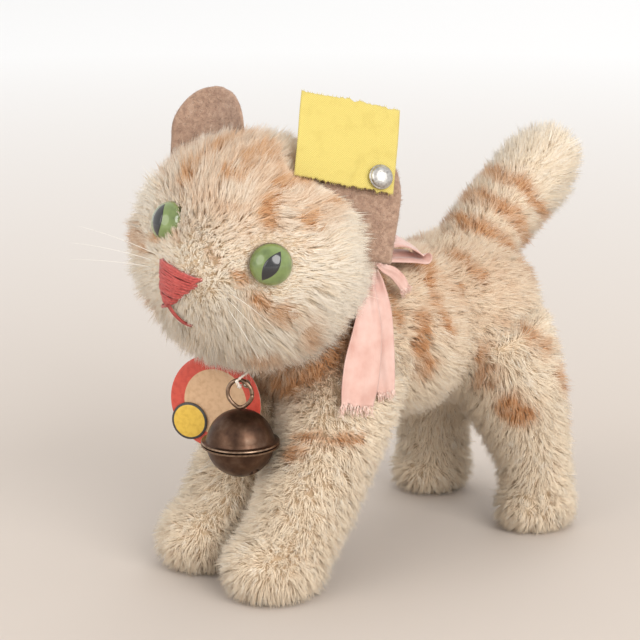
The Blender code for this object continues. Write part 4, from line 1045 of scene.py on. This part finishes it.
def ribbon(name, stations, side, ripple, seed, fray_end=0.0):
    """A satin ribbon through (x, y, z, width) stations, with soft creases along it and a ragged free end."""
    rng = np.random.default_rng(seed)
    path = smooth_path(stations, 9)
    centres, widths = path[:, :3], path[:, 3]
    along = unit(np.gradient(centres, axis=0))
    sides = across_to(np.broadcast_to(side, centres.shape), along)
    normals = np.cross(along, sides)
    columns = 22
    over = np.linspace(-0.5, 0.5, columns)
    middle = centres[:, None] + sides[:, None] * (over[None, :] * widths[:, None])[..., None]
    down = np.linspace(0, 1, len(path))
    phase = rng.random(3) * 6
    lift = ripple * (np.sin(over[None, :] * 7.5 + phase[0] + 1.5 * down[:, None])
                     + 0.6 * np.sin(over[None, :] * 13 + phase[1] - 3.0 * down[:, None])
                     + 0.8 * np.sin(down[:, None] * 9 + phase[2] + 2 * over[None, :]))
    middle = middle + lift[..., None] * normals[:, None]
    if fray_end:
        middle[-1] += along[-1] * rng.normal(0, 0.3, columns)[:, None]
    grids = [middle + s * RIBBON_THICK / 2 * normals[:, None] for s in (1, -1)]
    mesh_piece("satin_" + name, *slab(*grids), SATIN, "trunk", ["ribbon_" + name], "pink_satin")
    if fray_end:
        shapes = []
        for j in np.linspace(0, columns - 1, 70):
            start = middle[-1][int(j)] + sides[-1] * rng.normal(0, 0.15)
            reach = along[-1] * fray_end * (0.35 + 0.9 * rng.random()) + sides[-1] * rng.normal(0, 0.45)
            curl = normals[-1] * rng.normal(0, 0.5)
            path = smooth_path([start - 0.3 * along[-1], start + 0.5 * reach, start + reach + curl], 3)
            shapes.append(tube(path, np.linspace(0.10, 0.05, len(path)), 4))
        mesh_piece(f"satin_{name}_fray", *joined(shapes), FRAY, "trunk", slot="pink_satin")
    return middle.reshape(-1, 3)


def build_ribbon():
    """The band round the neck, the knot, and what hangs from it."""
    turns = np.linspace(0, 2 * math.pi, BAND_SIDES + 1)[:-1]
    first = across_to((1, 0, 0), NECK_AXIS)
    out = spokes(BAND_SIDES, first, np.cross(NECK_AXIS, first))
    centre = HEAD_CENTRE - NECK_AXIS * BAND_BELOW_HEAD
    rows = []
    for over in np.linspace(-1, 1, 13):
        wave = 0.22 * np.sin(9 * turns + 3 * over) + 0.16 * np.sin(17 * turns - 2 * over)
        radius = BAND_R + 0.9 * (1 - over**2) + wave
        rows.append(centre + radius[:, None] * out + 1.25 * over * NECK_AXIS)
    rows += [centre + BAND_HOLE_R * out + 1.1 * over * NECK_AXIS for over in (1, 0, -1)]
    band = np.array(rows + rows[:1])
    made = mesh_piece("satin_band", band, grid_faces(len(band), len(turns), wrap=True), SATIN)
    place(welded(made), "trunk", ["ribbon_band"])

    ways = ball_ways(28, 40).reshape(-1, 3)
    folds = 1 + 0.10 * np.sin(7 * ways[:, 0] + 4 * ways[:, 2]) + 0.06 * np.sin(13 * ways[:, 1])
    points = KNOT_AT + ways * KNOT_RADII * folds[:, None]
    knot = mesh_piece("satin_knot", points, grid_faces(29, 40, wrap=True), SATIN)
    place(welded(knot), "trunk", ["ribbon_knot"])

    side, across = (0.15, 1.0, 0.1), (0.95, -0.1, -0.3)
    return np.concatenate([
        ribbon("tail_front", TAIL_FRONT, side, 0.26, 41, fray_end=2.0),
        ribbon("tail_under", TAIL_UNDER, side, 0.18, 42, fray_end=1.6),
        ribbon("loop_rear", LOOP_REAR, across, 0.12, 43),
        ribbon("tail_rear", TAIL_REAR, side, 0.10, 44, fray_end=0.8),
    ])


# Bell and tag

UP = np.array((0, 0, 1.0))
RUBBED_WIDTH = 0.45
BELL_AT = JOINT_AT["pellet_roll"] - ORIGIN
RING_TOP = JOINT_AT["bell_swing"] - ORIGIN


def bell_half(sign, name, node, slotted=False):
    """A pressed bowl whose rim turns out into a flange. The flange's edge is rubbed bright."""
    arc = np.radians(np.arange(90, 8, -6))
    outer = [(BELL_R * math.cos(a), BELL_R * math.sin(a)) for a in arc]
    outer[0] = (0.0, BELL_R)
    hollow = BELL_R - BELL_WALL
    rim = [(BELL_R + 0.02, 0.75), (BELL_R + 0.15, 0.6), (FLANGE_R - 0.15, 0.55), (FLANGE_R, 0.42),
           (FLANGE_R, 0.2), (FLANGE_R - 0.1, 0.12), (hollow, 0.12)]
    inner = [(hollow * math.cos(a), hollow * math.sin(a)) for a in reversed(arc)]
    inner[-1] = (0.0, hollow)
    profile = [(r, sign * h) for r, h in [*outer, *rim, *inner]]
    points, faces = turned(profile, BELL_AT, UP, 96)
    if sign < 0:
        faces = [tuple(reversed(face)) for face in faces]
    made = welded(mesh_piece(name, points, faces, [BRASS, RUBBED]))
    if slotted:
        cut_slot(made)
    give_looks(made, BELL_AT, UP, lambda high, off: int(off > FLANGE_R - RUBBED_WIDTH))
    creased(made, 50)
    place(made, "bell", [node])


def cut_slot(made):
    """A slit under the bell with a round hole at each end."""
    ends, sides, heights = (-SLOT_REACH, SLOT_REACH), (-SLOT_HALF, SLOT_HALF), (-9, -2.2)
    for x in ends:
        cut_out(made, tube(BELL_AT + np.array([(x, 0, z) for z in heights]), SLOT_HOLE_R, 32))
    corners = [(x, y, z) for x in ends for y in sides for z in heights]
    box = [(0, 1, 3, 2), (4, 6, 7, 5), (0, 4, 5, 1), (2, 3, 7, 6), (0, 2, 6, 4), (1, 5, 7, 3)]
    cut_out(made, (BELL_AT + np.array(corners), box))


def build_bell():
    bell_half(1, "bell_bowl_upper", "bell_upper_shell")
    bell_half(-1, "bell_bowl_lower", "bell_lower_shell", slotted=True)
    ring_normal = unit((0.55, -0.82, 0.1))
    sideways = unit(np.cross(UP, ring_normal))
    centre = RING_TOP - UP * RING_R
    turns = np.linspace(0, 2 * math.pi, 49)
    pear = 1 - 0.28 * np.clip(-np.sin(turns), 0, 1) ** 2
    path = centre + np.outer(RING_R * np.cos(turns) * pear, sideways)
    path = path + np.outer((RING_R + 0.25) * np.sin(turns), UP)
    path[:, 2] = np.maximum(path[:, 2], BELL_AT[2] + BELL_R - 0.1)
    ring = tube(path, RING_WIRE * 0.95, 14)
    mesh_piece("bell_wire_ring", *ring, RUBBED, "bell", ["bell_ring"], "dark_brass")
    past = RING_WIRE + THREAD_R + 0.3
    hook = [(past, 0.5), (past, -0.4), (0.6 * past, -1.0), (0, -past - 0.1), (-0.7 * past, -0.9)]
    loop = [RING_TOP + ring_normal * out + UP * rise for out, rise in hook]
    lay_thread("hanging_thread", [THREAD_TOP, (4.6, -32.0, 45.0), *loop], "bell_thread", "bell_thread")


def lay_thread(name, route, node, body):
    """Two strands twisted together along a route."""
    path = smooth_path(route, 7)
    _, first, second = frames_along(path)
    reach = np.concatenate(([0], np.cumsum(np.linalg.norm(np.diff(path, axis=0), axis=1))))
    shapes = []
    for phase in (0, math.pi):
        turn = (2 * math.pi * reach / TWIST_PITCH + phase)[:, None]
        strand = path + STRAND_OUT * (np.cos(turn) * first + np.sin(turn) * second)
        shapes.append(tube(strand, STRAND_R, 8))
    mesh_piece(name, *joined(shapes), THREAD, body, [node], "white_thread")


TAG_NORMAL = unit(JOINT_AXIS["tag_swing"])
TAG_HOLE = JOINT_AT["tag_swing"] - ORIGIN
TAG_WAY = across_to((0.717, 0.427, 0.551), TAG_NORMAL)
TAG_AT = TAG_HOLE - 8.0 * TAG_WAY


def card_disc(name, centre, profile, looks, sides=72):
    """A disc across the tag's normal, from a profile of (radius, height)."""
    out = spokes(sides, TAG_WAY, np.cross(TAG_NORMAL, TAG_WAY))
    rings = np.array([centre + r * out + h * TAG_NORMAL for r, h in profile])
    return welded(mesh_piece(name, rings, grid_faces(len(rings), sides, wrap=True), looks))


def build_tag():
    """A punched card disc, red printed round tan, with a plain yellow round stuck on its edge."""
    low = [(TAG_R, 0.12), (TAG_R - 0.1, 0), (6.0, 0), (3.0, 0), (0, 0)]
    flat = [(r, TAG_T) for r in (0, 3.0, 5.6, 6.5, 6.7, 6.9)]
    profile = [*flat, (8.6, 0.49), (TAG_R - 0.2, 0.46), (TAG_R, 0.36), *low]
    made = card_disc("tag_card", TAG_AT, profile, [TAN, RED, CARD_EDGE])
    cut_out(made, tube(np.array((TAG_HOLE - 2 * TAG_NORMAL, TAG_HOLE + 2 * TAG_NORMAL)), 0.9, 28))
    give_looks(made, TAG_AT, TAG_NORMAL, lambda high, off: 2 if high <= 0.3 else int(off > 6.6))
    creased(made, 40)
    place(made, "chest_tag", ["chest_tag_disc"])

    away = across_to((-0.67, -0.39, -0.63), TAG_NORMAL)
    centre = TAG_AT + 7.0 * away + (TAG_T + 0.12) * TAG_NORMAL
    profile = [(0, 0.5), (2.0, 0.49), (3.35, 0.44), (3.42, 0.42), (3.8, 0.38), (3.85, 0.2), (3.75, 0), (0, 0)]
    seal = card_disc("tag_round", centre, profile, [SEAL_YELLOW, OUTLINE])
    give_looks(seal, centre, TAG_NORMAL, lambda high, off: int(off > 3.38))
    place(seal, "chest_tag", ["chest_tag_seal"])
    route = [(-1.4, -27.4, 44.2)] + [TAG_HOLE + TAG_NORMAL * out for out in (-2.4, -0.6, 1.2)]
    lay_thread("tag_thread", route, "chest_tag_thread", "trunk")
    return working_points(seal)[0]


# What is inside, on the CAD's own solids


def finish_inner_pieces():
    inner = {
        "head_stuffing": WOOL, "body_stuffing": WOOL, "tail_stuffing": WOOL, "neck_disc_head": BOARD,
        "neck_disc_body": BOARD, "neck_cotter_pin": STEEL, "eye_shank_left": STEEL, "eye_shank_right": STEEL,
        "ear_button_backing": NICKEL, "bell_pellet": STEEL,
    }
    for node, look in inner.items():
        obj = frame["nodes"][node]
        obj.data.materials.clear()
        obj.data.materials.append(look)


# Stage, light and camera


def floor_paper():
    """Warm under the cat and nearly white far behind it."""
    made = finish("floor_paper", (0.60, 0.55, 0.50), 0.85)
    out = add_node(made, "ShaderNodeVectorMath", {0: object_place(made)}, operation="LENGTH").outputs["Value"]
    coloured(made, ramp(made, out, [(0.1, (0.57, 0.505, 0.45)), (0.8, (0.80, 0.80, 0.80))]))
    return made


def build_stage():
    size, low = 6000, -0.05
    corners = [(-size, -size, low), (size, -size, low), (size, size, low), (-size, size, low)]
    floor = mesh_piece("floor", corners, [(0, 1, 2, 3)], floor_paper(), smooth=False)


def soft_light(name, place_at, aim, size, watts, colour):
    lamp = bpy.data.lights.new(name, "AREA")
    lamp.shape = "DISK"
    lamp.size = size * MM
    lamp.energy = watts
    lamp.color = colour
    made = bpy.data.objects.new(name, lamp)
    made.location = world_point(place_at)
    made.rotation_euler = (world_point(aim) - made.location).to_track_quat("-Z", "Y").to_euler()
    bpy.context.scene.collection.objects.link(made)


def build_light():
    aim = (0, -10, 45)
    soft_light("window_light", (1700, -250, 980), aim, 1400, 25.0, (1.0, 0.985, 0.96))
    soft_light("front_fill", (-100, -1750, 800), aim, 1500, 9.0, (1.0, 0.98, 0.95))
    soft_light("back_light", (-800, 1300, 1300), aim, 1250, 5.0, (0.97, 0.985, 1.0))
    world = bpy.data.worlds.new("studio")
    world.use_nodes = True
    world.node_tree.nodes["Background"].inputs["Color"].default_value = (1.0, 0.99, 0.98, 1.0)
    world.node_tree.nodes["Background"].inputs["Strength"].default_value = 0.92
    bpy.context.scene.world = world
    bpy.context.scene.view_settings.view_transform = "Standard"


def build_camera():
    """Looks at the cat's front left from a little above it."""
    target, distance = (0, -12.5, 50), 428
    azimuth, elevation = math.radians(50), math.radians(14.6)
    level = math.cos(elevation)
    back = Vector((math.sin(azimuth) * level, -math.cos(azimuth) * level, math.sin(elevation)))
    camera = bpy.data.objects.new("camera", bpy.data.cameras.new("camera"))
    camera.data.lens = 119.25
    camera.data.sensor_width = 36
    camera.data.clip_start = 0.01
    camera.location = world_point(target) + back * distance * MM
    camera.rotation_euler = (-back).to_track_quat("-Z", "Y").to_euler()
    bpy.context.scene.collection.objects.link(camera)
    bpy.context.scene.camera = camera


def eye_covers():
    """Points over both eye beads, which the pile stops short of."""
    found = []
    for name in ("left", "right"):
        centre, out = eye_facing(name)
        reach = EYE_R if name == "left" else 0.5 * EYE_R
        found.append(centre + ball_ways(10, 16).reshape(-1, 3) * reach)
    return np.concatenate(found)


YELLOW = woven_yellow()
PILE = pile_looks()

build_camera()
build_light()
build_stage()
finish_inner_pieces()
for eye in EYE_WAYS:
    build_eye(eye)
nose_points = build_nose()
build_whiskers()
build_ears()
build_button()
flag_points = build_flag().reshape(-1, 3)
ribbon_points = build_ribbon()
build_bell()
tag_points = build_tag()
head_pile(head_skin(), np.concatenate((eye_covers(), nose_points, flag_points)))
bell_points = ball(BELL_AT, (BELL_R,) * 3, 8, 12)[0]
body_pile(body_skin(), np.concatenate((ribbon_points, tag_points, bell_points)))
tail_pile(tail_skin())
